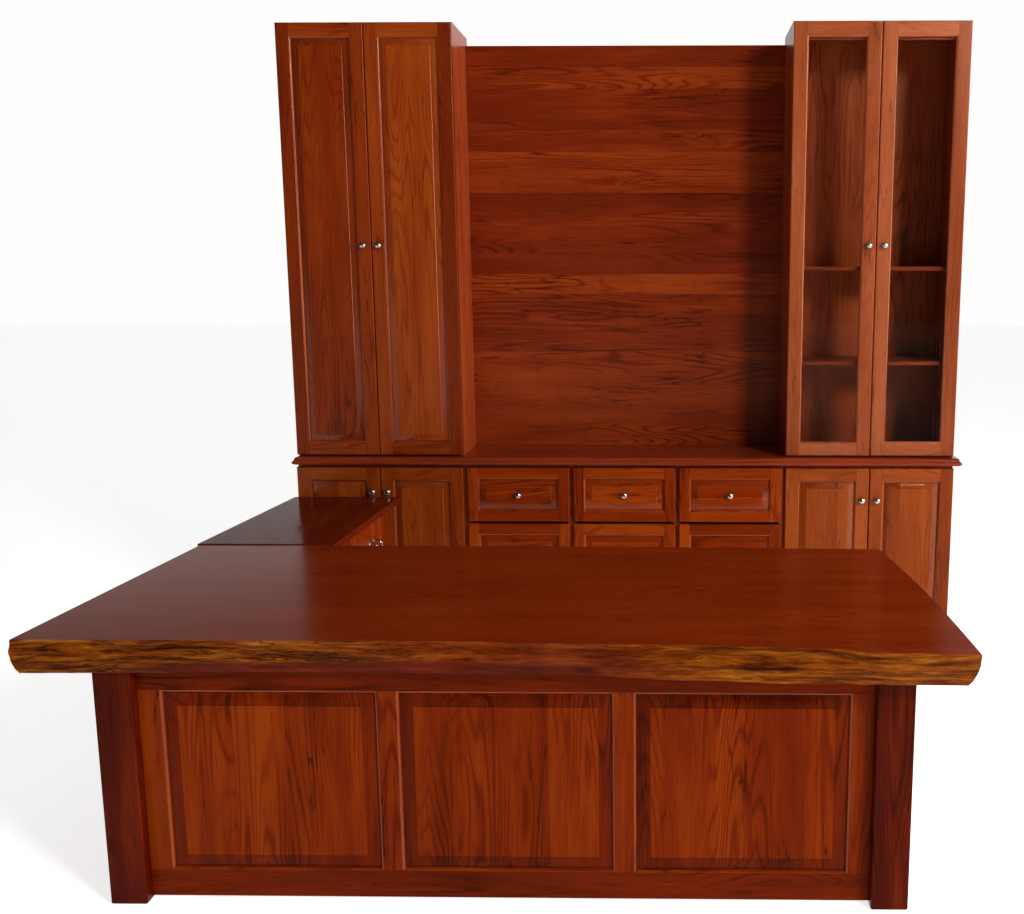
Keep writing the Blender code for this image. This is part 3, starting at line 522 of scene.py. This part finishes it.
    def make(self, finishes, body, replaced=(), at=(0, 0, 0), turn=0.0, sharp=30, weighted=True):
        """Turns the solids into an object in its place, riding on a body."""
        data = bpy.data.meshes.new(self.name)
        self.mesh.to_mesh(data)
        self.mesh.free()
        data.shade_smooth()
        data.set_sharp_from_angle(angle=math.radians(sharp))
        for finish in finishes if isinstance(finishes, (list, tuple)) else [finishes]:
            data.materials.append(finish)
        made = place_new(self.name, data)
        made.matrix_world = Matrix.Translation(at) @ Matrix.Rotation(turn, 4, "Z")
        if weighted:
            normals = made.modifiers.new("face normals", "WEIGHTED_NORMAL")
            normals.keep_sharp = True
            normals.weight = 60
        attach(made, body)
        if replaced:
            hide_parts(*replaced)
        return made


# ---- framed leaves
def frame_boards(piece, width, height, frame_width, depths):
    """Two stiles over the full height, with the rails between them, all rounded on the outside."""
    half, tall = width / 2, height / 2
    inner, inner_up = half - frame_width + MOULD_WIDTH, tall - frame_width + MOULD_WIDTH
    edge = LEAF_ROUND
    piece.board((-half, -inner), (-tall, tall), depths, "z", (edge, 0, edge, edge))
    piece.board((inner, half), (-tall, tall), depths, "z", (0, edge, edge, edge))
    piece.board((-inner, inner), (-tall, -inner_up), depths, "x", (0, 0, edge, 0))
    piece.board((-inner, inner), (inner_up, tall), depths, "x", (0, 0, 0, edge))


def framed_leaf(piece, width, height, frame_width, thickness, along, bevel=BEVEL_WIDTH, cuts=(), tones=()):
    """A frame with sticking and a raised panel, from the middle of the leaf's back."""
    frame_boards(piece, width, height, frame_width, (0.0, thickness))
    across = (-width / 2 + frame_width, width / 2 - frame_width)
    up = (-height / 2 + frame_width, height / 2 - frame_width)
    flat = thickness - MOULD_DEPTH
    piece.mouldings(across, up, flat, thickness)
    piece.panel(across, up, PANEL_BACK, flat - 0.0002, thickness - FIELD_RELIEF, bevel, along, cuts, tones)


def glazed_leaf(piece, width, height):
    """A display door's frame: a moulded front layer, and a back layer rebated for the glass."""
    frame_boards(piece, width, height, DOOR_FRAME, (REBATE_DEPTH, LEAF))
    half, tall = width / 2, height / 2
    rim = DOOR_FRAME - REBATE_WIDTH
    back = (0.0, REBATE_DEPTH - 0.0002)
    for side in (-1, 1):
        span = sorted((side * half, side * (half - rim)))
        piece.board(span, (-tall, tall), back, "z")
        span = sorted((side * tall, side * (tall - rim)))
        piece.board((-half + rim, half - rim), span, back, "x")
    across = (-half + DOOR_FRAME, half - DOOR_FRAME)
    up = (-tall + DOOR_FRAME, tall - DOOR_FRAME)
    piece.mouldings(across, up, REBATE_DEPTH, LEAF)


def leaf_place(node):
    """A wall unit door's width, height and the middle of its back."""
    low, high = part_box(node)
    return high.x - low.x, high.z - low.z, middle_of(low, high, y=high.y)


def lathe(piece, profile, at, direction, sides=32):
    """A turned shape from (radius, reach) points, standing on at and pointing along direction."""
    turn = Vector((0, 0, 1)).rotation_difference(Vector(direction)).to_matrix()
    loops = []
    for radius, reach in profile:
        turns = [2 * math.pi * side / sides for side in range(sides)]
        ring = [turn @ Vector((radius * math.cos(a), radius * math.sin(a), reach)) for a in turns]
        loops.append([point + Vector(at) for point in ring])
    piece.loft(loops, "z")


def knob_profile():
    """A small foot, a waisted neck and a ball, slightly flattened in front."""
    points = [(0.0090, 0.0), (0.0095, 0.0006), (0.0095, 0.0020), (0.0088, 0.0027), (0.0062, 0.0032)]
    points += [(0.0055, 0.0048), (0.0054, 0.0078)]
    centre, half = KNOB_LENGTH - 0.0095, 0.0095
    for step in range(13):
        angle = math.radians(-62 + 148 * step / 12)
        points.append((KNOB_RADIUS * math.cos(angle), centre + half * math.sin(angle)))
    points.append((0.0004, KNOB_LENGTH))
    return points


def add_knob(name, at, direction, body, replaced=()):
    piece = Piece(name)
    lathe(piece, knob_profile(), at, direction)
    piece.make(CHROME, body, replaced, sharp=60, weighted=False)


def add_door(node, finish, glazed=False, cuts=(), tones=()):
    width, height, centre = leaf_place(node)
    piece = Piece(f"{node}_leaf")
    if glazed:
        glazed_leaf(piece, width, height)
    else:
        framed_leaf(piece, width, height, DOOR_FRAME, LEAF, "z", cuts=cuts, tones=tones)
    piece.make(finish, node, [node], at=centre)
    low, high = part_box(f"{node}_knob")
    add_knob(f"{node}_ball", middle_of(low, high, y=high.y), (0, -1, 0), node, [f"{node}_knob"])


# ---- drawers
def channel(piece, x0, x1, y0, y1, z0, z1, opening):
    """A steel runner: a C-shaped channel that opens to one side, from front to back."""
    back, lip = (x0, x1) if opening > 0 else (x1, x0)
    sheet = RUNNER_STEEL * opening
    outline = [(back, z0), (lip, z0), (lip, z0 + 0.007), (lip - sheet, z0 + 0.007)]
    outline += [(lip - sheet, z0 + RUNNER_STEEL), (back + sheet, z0 + RUNNER_STEEL)]
    outline += [(x, z0 + z1 - z) for x, z in reversed(outline)]
    piece.loft([[Vector((x, y, z)) for x, z in outline] for y in (y0, y1)], "y")


def add_tray(node, low, high, at, turn, depth):
    """The drawer box behind a front: two sides, a back, an inner front and a bottom let in between them."""
    piece = Piece(f"{node}_tray", tone=0.2)
    x0, x1, z0, z1 = low[0], high[0], low[1], high[1]

    def plank(xs, zs, ys, along, edge=0.0):
        piece.board(xs, zs, (-ys[1], -ys[0]), along, (0, 0, 0, edge))

    wall = TRAY_WALL
    plank((x0, x0 + wall), (z0, z1), (0.0004, depth), "y", 0.0015)
    plank((x1 - wall, x1), (z0, z1), (0.0004, depth), "y", 0.0015)
    plank((x0 + wall, x1 - wall), (z0, z1), (depth - wall, depth), "x", 0.0015)
    plank((x0 + wall, x1 - wall), (z0, z1), (0.0004, wall), "x", 0.0015)
    plank((x0 + wall, x1 - wall), (z0 + 0.003, z0 + TRAY_FLOOR), (wall, depth - wall), "x")
    piece.make(TRAY_FINISH, node, (), at=at, turn=turn)

    middle = (z0 + z1) / 2
    runner = Piece(f"{node}_runner")
    fixed = Piece(f"{node}_rail")
    for side in (-1, 1):
        edge = x1 if side > 0 else x0
        inner = sorted((edge + side * 0.0006, edge + side * 0.0060))
        outer = sorted((edge + side * 0.0066, edge + side * (RUNNER_GAP - 0.0006)))
        z_low, z_high = middle - RUNNER_HEIGHT / 2, middle + RUNNER_HEIGHT / 2
        channel(runner, *inner, 0.004, depth - 0.010, z_low + 0.004, z_high - 0.004, side)
        channel(fixed, *outer, 0.006, depth - 0.004, z_low, z_high, -side)
    runner.make(ZINC, node, (), at=at, turn=turn)
    fixed.make(ZINC, "suite", (), at=at, turn=turn)


def add_drawer(node, tray_inset, turn=0.0, tones=()):
    """A moulded drawer front with its knob, tray and runners."""
    low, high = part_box(node)
    width, height = high.x - low.x, high.z - low.z
    lead = KNOB_LENGTH + LEAF - FIELD_DROP
    back = low.y + lead if turn == 0.0 else high.y - lead
    depth = (high.y - back) if turn == 0.0 else (back - low.y)
    centre = middle_of(low, high, y=back)
    piece = Piece(f"{node}_front")
    cuts = (0.45,) if tones else ()
    framed_leaf(piece, width, height, DRAWER_FRAME, LEAF, "x", cuts=cuts, tones=tones)
    piece.make(DRAWER_FINISH, node, [node], at=centre, turn=turn)
    facing = -1 if turn == 0.0 else 1
    add_knob(f"{node}_ball", centre + Vector((0, facing * (LEAF - FIELD_DROP), 0)), (0, facing, 0), node)
    half = width / 2 - tray_inset
    corner_low, corner_high = (-half, -height / 2 + TRAY_ABOVE_FOOT), (half, height / 2 - TRAY_BELOW_TOP)
    add_tray(node, corner_low, corner_high, centre, turn, depth)


def add_drawers():
    for row in (1, 2, 3):
        for column in (1, 2, 3):
            node = f"drawer_row{row}_column{column}"
            tones = ((-0.5, -0.1), (0.5, 0.3), (0.2, -0.3))[column - 1] if row == 1 else ()
            add_drawer(node, WALL_TRAY_INSET, tones=tones)
    for label in ("top", "middle", "bottom"):
        add_drawer(f"desk_drawer_{label}", DESK_TRAY_INSET, turn=math.pi)


# ---- wall unit
def add_doors():
    add_door("base_door_a_left", DOOR_FINISH, cuts=(0.5,), tones=(0.1, 0.4))
    add_door("base_door_a_right", DOOR_FINISH, cuts=(0.4,), tones=(0.3, -0.1))
    add_door("base_door_b_left", DOOR_FINISH, cuts=(0.36, 0.7), tones=(0.3, -0.1, 0.4))
    add_door("base_door_b_right", DOOR_FINISH, cuts=(0.3, 0.66), tones=(-0.3, 0.3, 0.0))
    for label in ("left", "right"):
        add_door(f"hutch_door_{label}", HUTCH_FINISH, tones=(-0.2 if label == "left" else 0.8,))
        add_door(f"display_door_{label}", DISPLAY_WOOD_AND_PAINTED_REFLECTION, glazed=True)


def add_niche():
    """Planks across the back of the niche, edge to edge."""
    low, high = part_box("niche_back_panel")
    piece = Piece("niche_planks")
    edges, depths = (0, 0, PLANK_GROOVE, PLANK_GROOVE), (0.0, high.y - low.y)
    top = high.z
    for lower, tone in NICHE_PLANKS:
        foot = max(lower, low.z)
        piece.board((low.x, high.x), (foot, top), depths, "x", edges, PLANK_CONTRAST * tone)
        top = foot
    piece.make(PLANK_FINISH, "suite", ["niche_back_panel"], at=(0, high.y, 0))


def add_counter():
    """The worktop's moulded edge: a fillet, a bull-nosed band and an upper cove, mitred at both corners."""
    low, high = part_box("counter_top")
    thick = high.z - low.z
    steps = [(0.0, 0.009), (0.002, 0.0072), (0.0024, 0.0040)]
    for step in range(9):
        angle = math.radians(-80 + 160 * step / 8)
        steps.append((0.0102 + 0.0072 * math.sin(angle), 0.0072 * (1 - math.cos(angle))))
    steps += [(0.0178, 0.0068), (0.0190, 0.0072), (0.0196, 0.0078)]
    for step in range(6):
        angle = math.radians(90 * step / 5)
        steps.append((0.0205 + 0.0110 * math.sin(angle), 0.0160 - 0.0078 * math.cos(angle)))
    steps.append((thick, 0.0172))
    piece = Piece("counter_board", tone=-0.2)
    loops = []
    for height, inset in steps:
        z = low.z + height
        x0, x1, y0 = low.x + inset, high.x - inset, low.y + inset
        loops.append([Vector((*corner, z)) for corner in ((x0, y0), (x1, y0), (x1, high.y), (x0, high.y))])
    piece.loft(loops, "x")
    piece.make(COUNTER_FINISH, "suite", ["counter_top"])


def add_shelves():
    """Shelf boards in the display cabinet, each with a rounded solid lipping along its front."""
    for number in (1, 2):
        node = f"display_shelf_{number}"
        low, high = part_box(node)
        piece = Piece(f"{node}_board", tone=0.0)
        seam = low.y + SHELF_LIPPING
        nose = []
        for z, start in ((low.z + SHELF_ROUND, 270), (high.z - SHELF_ROUND, 180)):
            for step in range(ARC_STEPS + 1):
                angle = math.radians(start - 90 * step / ARC_STEPS)
                y = low.y + SHELF_ROUND + SHELF_ROUND * math.cos(angle)
                nose.append((y, z + SHELF_ROUND * math.sin(angle)))
        lipping = nose + [(seam, high.z), (seam, low.z)]
        board = [(seam, low.z), (seam, high.z), (high.y, high.z), (high.y, low.z)]
        for outline in (lipping, board):
            piece.loft([[Vector((x, y, z)) for y, z in outline] for x in (low.x, high.x)], "x")
        piece.make(SHELF_FINISH, "suite", [node])


# ---- desk
def catmull(points, number, share):
    """A smooth point between points[number] and the next, on an open run of points."""
    p1, p2 = points[number], points[number + 1]
    p0 = points[number - 1] if number else p1 * 2 - p2
    p3 = points[number + 2] if number + 2 < len(points) else p2 * 2 - p1
    return 0.5 * (
        2 * p1 + (p2 - p0) * share + (2 * p0 - 5 * p1 + 4 * p2 - p3) * share ** 2
        + (3 * p1 - p0 - 3 * p2 + p3) * share ** 3
    )


def slab_rings():
    """The frame's slab as rings of points, from its top down, anticlockwise from the front left corner."""
    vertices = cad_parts["desk_slab_top"].data.vertices
    points = sorted((vertex.co.copy() for vertex in vertices), key=lambda point: -point.z)
    levels = [[points[0]]]
    for point in points[1:]:
        if levels[-1][-1].z - point.z > 0.001:
            levels.append([])
        levels[-1].append(point)
    low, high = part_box("desk_slab_top")
    middle = (low + high) / 2
    rings = []
    for level in levels:
        level.sort(key=lambda p: math.atan2(p.y - middle.y, p.x - middle.x))
        ring = [level[0]]
        for point in level[1:]:
            if (point - ring[-1]).length > 0.001:
                ring.append(point)
        start = min(range(len(ring)), key=lambda number: ring[number].x + ring[number].y)
        rings.append(ring[start:] + ring[:start])
    return rings


def fine_ring(ring):
    """A ring with many more points, smooth along each side and sharp at the four corners."""
    fine, start = [], 0
    for count, times in zip(SLAB_SIDES, SLAB_FINE):
        side = [ring[(start + number) % len(ring)] for number in range(count + 1)]
        for number in range(count):
            fine += [catmull(side, number, step / times) for step in range(times)]
        start += count
    return fine


def edge_relief(place, share):
    """How far the live edge falls back: long ridges, fine grooves, flakes on the left and one hollow."""
    ridge = noise.noise(Vector((place.x * 2.6, place.y * 2.0, place.z * 42 + place.x * 1.5)))
    groove = noise.noise(Vector((place.x * 11, place.y * 8, place.z * 170)))
    swell = noise.noise(Vector((place.x * 6.5, place.y * 3, place.z * 14 + 5)))
    flake = noise.voronoi(Vector((place.x * 13, place.y * 6, place.z * 52)))[0]
    chipped = min(1.0, max(0.0, (-0.45 - place.x) / 0.4))
    hollow = math.exp(-((place.x + 0.29) / 0.035) ** 2 - ((share - 0.42) / 0.20) ** 2)
    fall = 0.0021 + 0.0013 * ridge + 0.0006 * groove + 0.0012 * swell + 0.0045 * hollow
    fall += 0.0016 * chipped * min(1.0, (flake[1] - flake[0]) * 3)
    return fall * min(1.0, share / 0.10)


def add_slab():
    """The live-edge top. Its edge is carved in fine relief, and its upper rim is rounded."""
    rings = [fine_ring(ring) for ring in slab_rings()]
    top, foot = rings[0][0].z, rings[-1][0].z
    shares = [(top - ring[0].z) / (top - foot) for ring in rings]
    rows = [0.0, 0.012, 0.03, 0.055]
    rows += [SLAB_RIM + (1 - SLAB_RIM) * step / SLAB_ROWS for step in range(SLAB_ROWS + 1)]
    count = len(rings[0])
    piece = Piece("desk_slab", tone=0.0)
    depth_layer = piece.mesh.verts.layers.float.new("depth")
    grid = []
    for row in rows:
        lower = next(number for number in range(1, len(shares)) if row <= shares[number] + 1e-6)
        share = (row - shares[lower - 1]) / (shares[lower] - shares[lower - 1])
        if lower == 1:
            share = math.sin(share * math.pi / 2)
        points = [rings[lower - 1][n].lerp(rings[lower][n], share) for n in range(count)]
        line = []
        for number, point in enumerate(points):
            run = points[(number + 1) % count] - points[number - 1]
            inward = Vector((-run.y, run.x, 0)).normalized()
            place = Vector((*point.xy, top - (top - foot) * row))
            vert = piece.mesh.verts.new(place + inward * edge_relief(place, row))
            vert[depth_layer] = row
            line.append(vert)
        grid.append(line)
    front, right_end, back, _ = [number * times for number, times in zip(SLAB_SIDES, SLAB_FINE)]
    for above, below in zip(grid, grid[1:]):
        for number in range(count):
            after = (number + 1) % count
            face = piece.mesh.faces.new((above[number], above[after], below[after], below[number]))
            is_end = front <= number < front + right_end or number >= front + right_end + back
            face.material_index = 2 if is_end else 1
    piece.mesh.faces.new(grid[0])
    piece.mesh.faces.new(grid[-1])
    bmesh.ops.recalc_face_normals(piece.mesh, faces=piece.mesh.faces)
    piece.mark(piece.mesh.verts, "x", 0.0)
    finishes = [SLAB_FINISH, LIVE_EDGE, END_GRAIN]
    piece.make(finishes, "suite", ["desk_slab_top"], sharp=50, weighted=False)


def add_posts():
    """Square posts with eased edges and a small chamfer at the foot."""
    tones = {"front_left": -0.3, "front_right": -0.4, "rear_left": -0.2, "rear_right": 0.0}
    for label, tone in tones.items():
        node = f"desk_post_{label}"
        low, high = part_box(node)
        piece = Piece(f"{node}_timber", tone)
        loops = []
        for z, inset in ((low.z, 0.003), (low.z + 0.003, 0.0), (high.z - 0.001, 0.0), (high.z, 0.001)):
            edge = POST_ROUND + inset
            left, right, near, far = low.x + edge, high.x - edge, low.y + edge, high.y - edge
            corners = ((right, far, 0), (left, far, 90), (left, near, 180), (right, near, 270))
            arcs = [arc(Vector((x, y, z)), POST_ROUND, start) for x, y, start in corners]
            loops.append([point for quarter in arcs for point in quarter])
        piece.loft(loops, "z")
        piece.make(POST_FINISH, "suite", [node])


def add_desk_front():
    """Rails over the whole width, stiles between them, mitred sticking and three panels of boards."""
    low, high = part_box("desk_front_frame")
    back, thick = high.y, high.y - low.y
    foot, head = FRONT_BOTTOM_RAIL, high.z - FRONT_TOP_RAIL
    openings = []
    for label in ("left", "middle", "right"):
        panel_low, panel_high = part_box(f"desk_front_panel_{label}")
        openings.append((panel_low.x + PANEL_TONGUE, panel_high.x - PANEL_TONGUE))
    piece = Piece("desk_front_frame_boards")
    lower, upper = foot - MOULD_WIDTH, head + MOULD_WIDTH
    piece.board((low.x, high.x), (low.z, lower), (0.0, thick), "x", (0, 0, 0.002, 0), -0.5)
    piece.board((low.x, high.x), (upper, high.z), (0.0, thick), "x", (0, 0, 0, 0), -0.7)
    starts = [low.x] + [right + MOULD_WIDTH for _, right in openings]
    ends = [left - MOULD_WIDTH for left, _ in openings] + [high.x]
    for start, end, tone in zip(starts, ends, (0.4, 0.1, 0.3, 0.0)):
        piece.board((start, end), (lower, upper), (0.0, thick), "z", (0, 0, 0, 0), tone)
    for left, right in openings:
        piece.mouldings((left, right), (foot, head), thick - MOULD_DEPTH, thick, 0.4)
    piece.make(PANEL_FINISH, "suite", ["desk_front_frame"], at=(0, back, 0))

    boards = (
        ("left", (0.32, 0.57, 0.66), (0.5, 0.7, 0.1, 0.3)),
        ("middle", (0.24, 0.46, 0.70), (-0.1, 0.3, 0.0, 0.4)),
        ("right", (0.28, 0.55, 0.80), (0.0, 0.3, -0.2, 0.2)),
    )
    for (left, right), (label, cuts, tones) in zip(openings, boards):
        piece = Piece(f"desk_front_boards_{label}")
        flat, field = thick - MOULD_DEPTH - 0.0002, thick - FIELD_RELIEF
        piece.panel((left, right), (foot, head), 0.006, flat, field, FRONT_BEVEL, "z", cuts, tones)
        node = f"desk_front_panel_{label}"
        piece.make(PANEL_FINISH[0], "suite", [node], at=(0, back, 0))


def add_desk_sides():
    for label, facing in (("left", -1), ("right", 1)):
        node = f"desk_side_panel_{label}"
        low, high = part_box(node)
        thick = high.x - low.x
        back = high.x if facing < 0 else low.x
        piece = Piece(f"{node}_leaf")
        width, height = high.y - low.y, high.z - low.z
        cuts, tones = (0.33, 0.62), (0.2, 0.5, 0.0)
        framed_leaf(piece, width, height, SIDE_FRAME_WIDTH, thick, "z", FRONT_BEVEL, cuts, tones)
        place = middle_of(low, high, x=back)
        piece.make(PANEL_FINISH, "suite", [node], at=place, turn=facing * math.pi / 2)


def add_apron():
    """A rail with eased edges on both sides, under the slab at the sitter's side."""
    low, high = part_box("desk_rear_apron")
    piece = Piece("desk_rear_rail", tone=0.0)
    middle = (low.y + high.y) / 2
    for y, sign in ((middle, 1), (middle, -1)):
        loops = []
        half = (high.y - low.y) / 2
        for depth, inset in ((0.0, 0.0), (half - 0.002, 0.0), (half - 0.0006, 0.0006), (half, 0.002)):
            loops.append(upright_ring((low.x, high.x), (low.z + inset, high.z - inset), y + sign * depth))
        piece.loft(loops, "x", 0.0)
    piece.make(PANEL_FINISH[0], "suite", ["desk_rear_apron"])


# ---- return
def pull_route():
    """The centre line of a bow pull, as (out, up) points: out from the door, down and back in."""
    half = PULL_LENGTH / 2
    points = [(0.0, half)]
    for centre, start in ((half - PULL_CORNER, 90), (-half + PULL_CORNER, 0)):
        for step in range(9):
            angle = math.radians(start - 90 * step / 8)
            reach = PULL_REACH - PULL_CORNER + PULL_CORNER * math.cos(angle)
            points.append((reach, centre + PULL_CORNER * math.sin(angle)))
    return points + [(0.0, -half)]


def add_pull(name, at, body, node):
    """A round bar bent to a bow, on two small rosettes. It reaches towards +X."""
    piece = Piece(name)
    route = [Vector((out, 0, up)) for out, up in pull_route()]
    loops = []
    for number, point in enumerate(route):
        before, after = route[max(number - 1, 0)], route[min(number + 1, len(route) - 1)]
        run = (after - before).normalized()
        side = Vector((0, 1, 0))
        over = run.cross(side)
        turns = [2 * math.pi * step / 20 for step in range(20)]
        spokes = [side * math.cos(angle) + over * math.sin(angle) for angle in turns]
        loops.append([point + spoke * PULL_RADIUS + Vector(at) for spoke in spokes])
    piece.loft(loops, "z")
    for up in (-PULL_LENGTH / 2, PULL_LENGTH / 2):
        foot = Vector(at) + Vector((0.0, 0, up))
        rosette = [(0.0085, 0.0), (0.0088, 0.0006), (0.0086, 0.0016), (0.0070, 0.0026), (0.0052, 0.0031)]
        lathe(piece, rosette, foot, (1, 0, 0), 28)
    piece.make(CHROME, body, [node], sharp=60, weighted=False)


def add_return_doors():
    """Flush doors: two veneered boards with a solid lipping round them, and a bow pull each."""
    for label in ("near", "far"):
        node = f"return_door_{label}"
        low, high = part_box(node)
        width, height, thick = high.y - low.y, high.z - low.z, high.x - low.x
        piece = Piece(f"{node}_leaf", tone=0.1)
        half, tall, edge = width / 2, height / 2, 0.002
        inner, inner_up = half - RETURN_LIPPING, tall - RETURN_LIPPING
        depths, square = (0, thick), (0, 0, 0, 0)
        piece.board((-half, -inner), (-tall, tall), depths, "z", (edge, 0, edge, edge))
        piece.board((inner, half), (-tall, tall), depths, "z", (0, edge, edge, edge))
        piece.board((-inner, inner), (-tall, -inner_up), depths, "x", (0, 0, edge, 0))
        piece.board((-inner, inner), (inner_up, tall), depths, "x", (0, 0, 0, edge))
        piece.board((-inner, 0.01), (-inner_up, inner_up), depths, "z", square, 0.3)
        piece.board((0.01, inner), (-inner_up, inner_up), depths, "z", square, -0.1)
        centre = middle_of(low, high, x=low.x)
        piece.make(DRAWER_FINISH[0], node, [node], at=centre, turn=math.pi / 2)
        pull_low, pull_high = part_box(f"return_pull_{label}")
        foot = middle_of(pull_low, pull_high, x=pull_low.x)
        add_pull(f"return_bow_{label}", foot, node, f"return_pull_{label}")


def add_return_back():
    """Upright boards with a small V between them, closing the return's outer side next to the desk."""
    low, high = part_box("return_back_panel")
    piece = Piece("return_back_boards", tone=0.0)
    board = (high.y - low.y) / RETURN_BOARDS
    vee, depths = 0.0015, (0.0, high.x - low.x)
    for number in range(RETURN_BOARDS):
        start = board * (number - RETURN_BOARDS / 2)
        piece.board((start, start + board), (low.z, high.z), depths, "z", (vee, vee, 0, 0))
    place = middle_of(low, high, x=high.x, z=0)
    piece.make(CASE_PIECES, "suite", ["return_back_panel"], at=place, turn=-math.pi / 2)


def dress_cad_nodes():
    """Finishes for the frame's own solids that stay in view."""
    cases = (
        "hutch_cabinet", "display_cabinet", "base_cabinet_left", "base_cabinet_right",
        "base_drawer_cabinet", "desk_pedestal", "return_cabinet",
    )
    finishes = {node: CASE_WOOD_AND_PAINTED_LIGHT for node in cases}
    finishes.update(base_plinth=PLINTH_FINISH, return_top=RETURN_FINISH)
    finishes.update(display_door_left_glass=GLASS, display_door_right_glass=GLASS)
    for node, finish in finishes.items():
        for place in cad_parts[node].material_slots:
            place.material = finish


# ---- studio
def area_light(name, at, aim, size, power, colour):
    lamp = bpy.data.lights.new(name, "AREA")
    lamp.shape = "RECTANGLE"
    lamp.size, lamp.size_y = size
    lamp.energy = power
    lamp.color = colour
    made = place_new(name, lamp, at)
    made.rotation_euler = (Vector(aim) - Vector(at)).to_track_quat("-Z", "Y").to_euler()


def add_world():
    """A white studio wall behind the suite and to its right, dim at the front left and overhead."""
    nodes = Nodes("studio", bpy.data.worlds)
    bpy.context.scene.world = nodes.owner
    place = nodes.add("TexCoord").outputs["Generated"]
    falls = []
    for direction, limits in (
        ((0.67, 0.74, 0.0), (-0.45, 0.28, 0.10, 1.0)),
        ((0.0, 0.0, 1.0), (0.245, 0.31, 1.0, 0.22)),
    ):
        along = nodes.add("VectorMath", {0: place, 1: direction}, operation="DOT_PRODUCT")
        falls.append(nodes.fade(along.outputs["Value"], *limits))
    light = nodes.add("Background", {"Color": WALL_WHITE, "Strength": nodes.times(*falls)})
    nodes.add("OutputWorld", {"Surface": light.outputs[0]})


def add_studio():
    add_world()
    area_light("key", (4.0, -4.9, 4.2), (0.3, 0.6, 1.0), (1.2, 1.2), 330, (1.0, 0.95, 0.88))
    area_light("side", (5.6, -1.5, 2.3), (0.0, 0.3, 1.1), (2.8, 3.0), 210, (1.0, 0.97, 0.94))
    area_light("top", (0.3, -1.2, 4.6), (0.0, 0.0, 0.8), (3.6, 2.0), 10, (1.0, 0.98, 0.95))
    mesh = bpy.data.meshes.new("floor")
    reach = 30.0
    corners = [(-reach, -reach, 0), (reach, -reach, 0), (reach, reach, 0), (-reach, reach, 0)]
    mesh.from_pydata(corners, [], [(0, 1, 2, 3)])
    mesh.materials.append(floor_material())
    floor = place_new("floor", mesh, (0, 0, -0.0005))
    bpy.context.scene.view_settings.view_transform = "Standard"


def add_camera():
    camera = bpy.data.cameras.new("camera")
    camera.sensor_width = 36.0
    camera.lens = 37.462
    camera.shift_x = -0.1396
    camera.shift_y = -0.01665
    made = place_new("camera", camera, (0.2471, -3.7333, 1.7245))
    made.rotation_euler = (math.radians(80.927), 0, math.radians(0.757))
    bpy.context.scene.camera = made


# ---- the suite
DOOR_FINISH = moulded_wood(
    "base_door_wood", ((74, 21, 4), (118, 46, 9), (148, 72, 24)), 0.24, veins=0.45, figure=0.6
)
HUTCH_FINISH = moulded_wood("hutch_door_wood", ((70, 18, 3), (114, 38, 8), (148, 66, 18)), 0.22, figure=0.8)
# Partly painted reflection: these shades are paler and pinker than the other doors'. They mix the frames'
# wood colour with a painted reflection of the bright light from the right.
DISPLAY_WOOD_AND_PAINTED_REFLECTION = moulded_wood(
    "display_frame_wood_and_painted_reflection", ((98, 38, 16), (134, 64, 34), (158, 88, 56)), 0.22, figure=0.4
)
DRAWER_FINISH = moulded_wood("drawer_wood", ((72, 17, 3), (122, 39, 5), (154, 66, 13)), 0.24, veins=0.6)
# Partly painted light: the cases' wood colour, raised so that their sides read as bright as under the strong
# light and grazing reflection from the right.
CASE_WOOD_AND_PAINTED_LIGHT = wood("case_wood_and_painted_light", ((82, 24, 9), (142, 56, 24), (176, 86, 44)), 0.28, run="case")
CASE_PIECES = wood("case_board_wood", ((60, 14, 4), (104, 32, 9), (134, 52, 20)), 0.28)
SHELF_FINISH = wood("shelf_wood", ((70, 16, 5), (120, 42, 16), (150, 66, 30)), 0.28)
PLINTH_FINISH = wood("plinth_wood", ((46, 10, 4), (82, 22, 6), (108, 38, 12)), 0.32, run="level")
PLANK_FINISH = wood("niche_wood", ((60, 14, 3), (104, 31, 8), (148, 60, 18)), 0.22, veins=0.6)
PANEL_FINISH = moulded_wood(
    "desk_front_wood", ((60, 12, 1), (104, 29, 2), (138, 54, 6)), 0.22, veins=0.7, mottle=1.3, gloss=0.05
)
POST_FINISH = wood("post_timber", ((36, 5, 1), (76, 15, 3), (118, 38, 9)), 0.24, mottle=1.9, gloss=0.06)
COUNTER_FINISH = wood("counter_wood", ((76, 22, 8), (126, 46, 22), (154, 68, 36)), 0.16)
TOP_LOOKS = {"figure": 0.5, "gloss": 0.5}
SLAB_FINISH = wood(
    "slab_top_wood", ((74, 20, 4), (118, 38, 8), (142, 54, 16)), 0.17,
    veins=0.35, mottle=0.8, ior=1.12, **TOP_LOOKS
)
RETURN_FINISH = wood(
    "return_top_wood", ((48, 11, 3), (88, 25, 8), (116, 42, 15)), 0.13, run="deep", ior=1.08, **TOP_LOOKS
)
TRAY_FINISH = wood("drawer_box_wood", ((120, 66, 34), (168, 108, 62), (198, 144, 92)), 0.42, veins=0.2)
LIVE_EDGE = live_edge_material()
END_GRAIN = end_grain_material()
CHROME = metal_material()
ZINC = zinc_material()
GLASS = glass_material()

add_camera()
add_studio()
dress_cad_nodes()
add_doors()
add_drawers()
add_niche()
add_counter()
add_shelves()
add_slab()
add_posts()
add_desk_front()
add_desk_sides()
add_apron()
add_return_doors()
add_return_back()
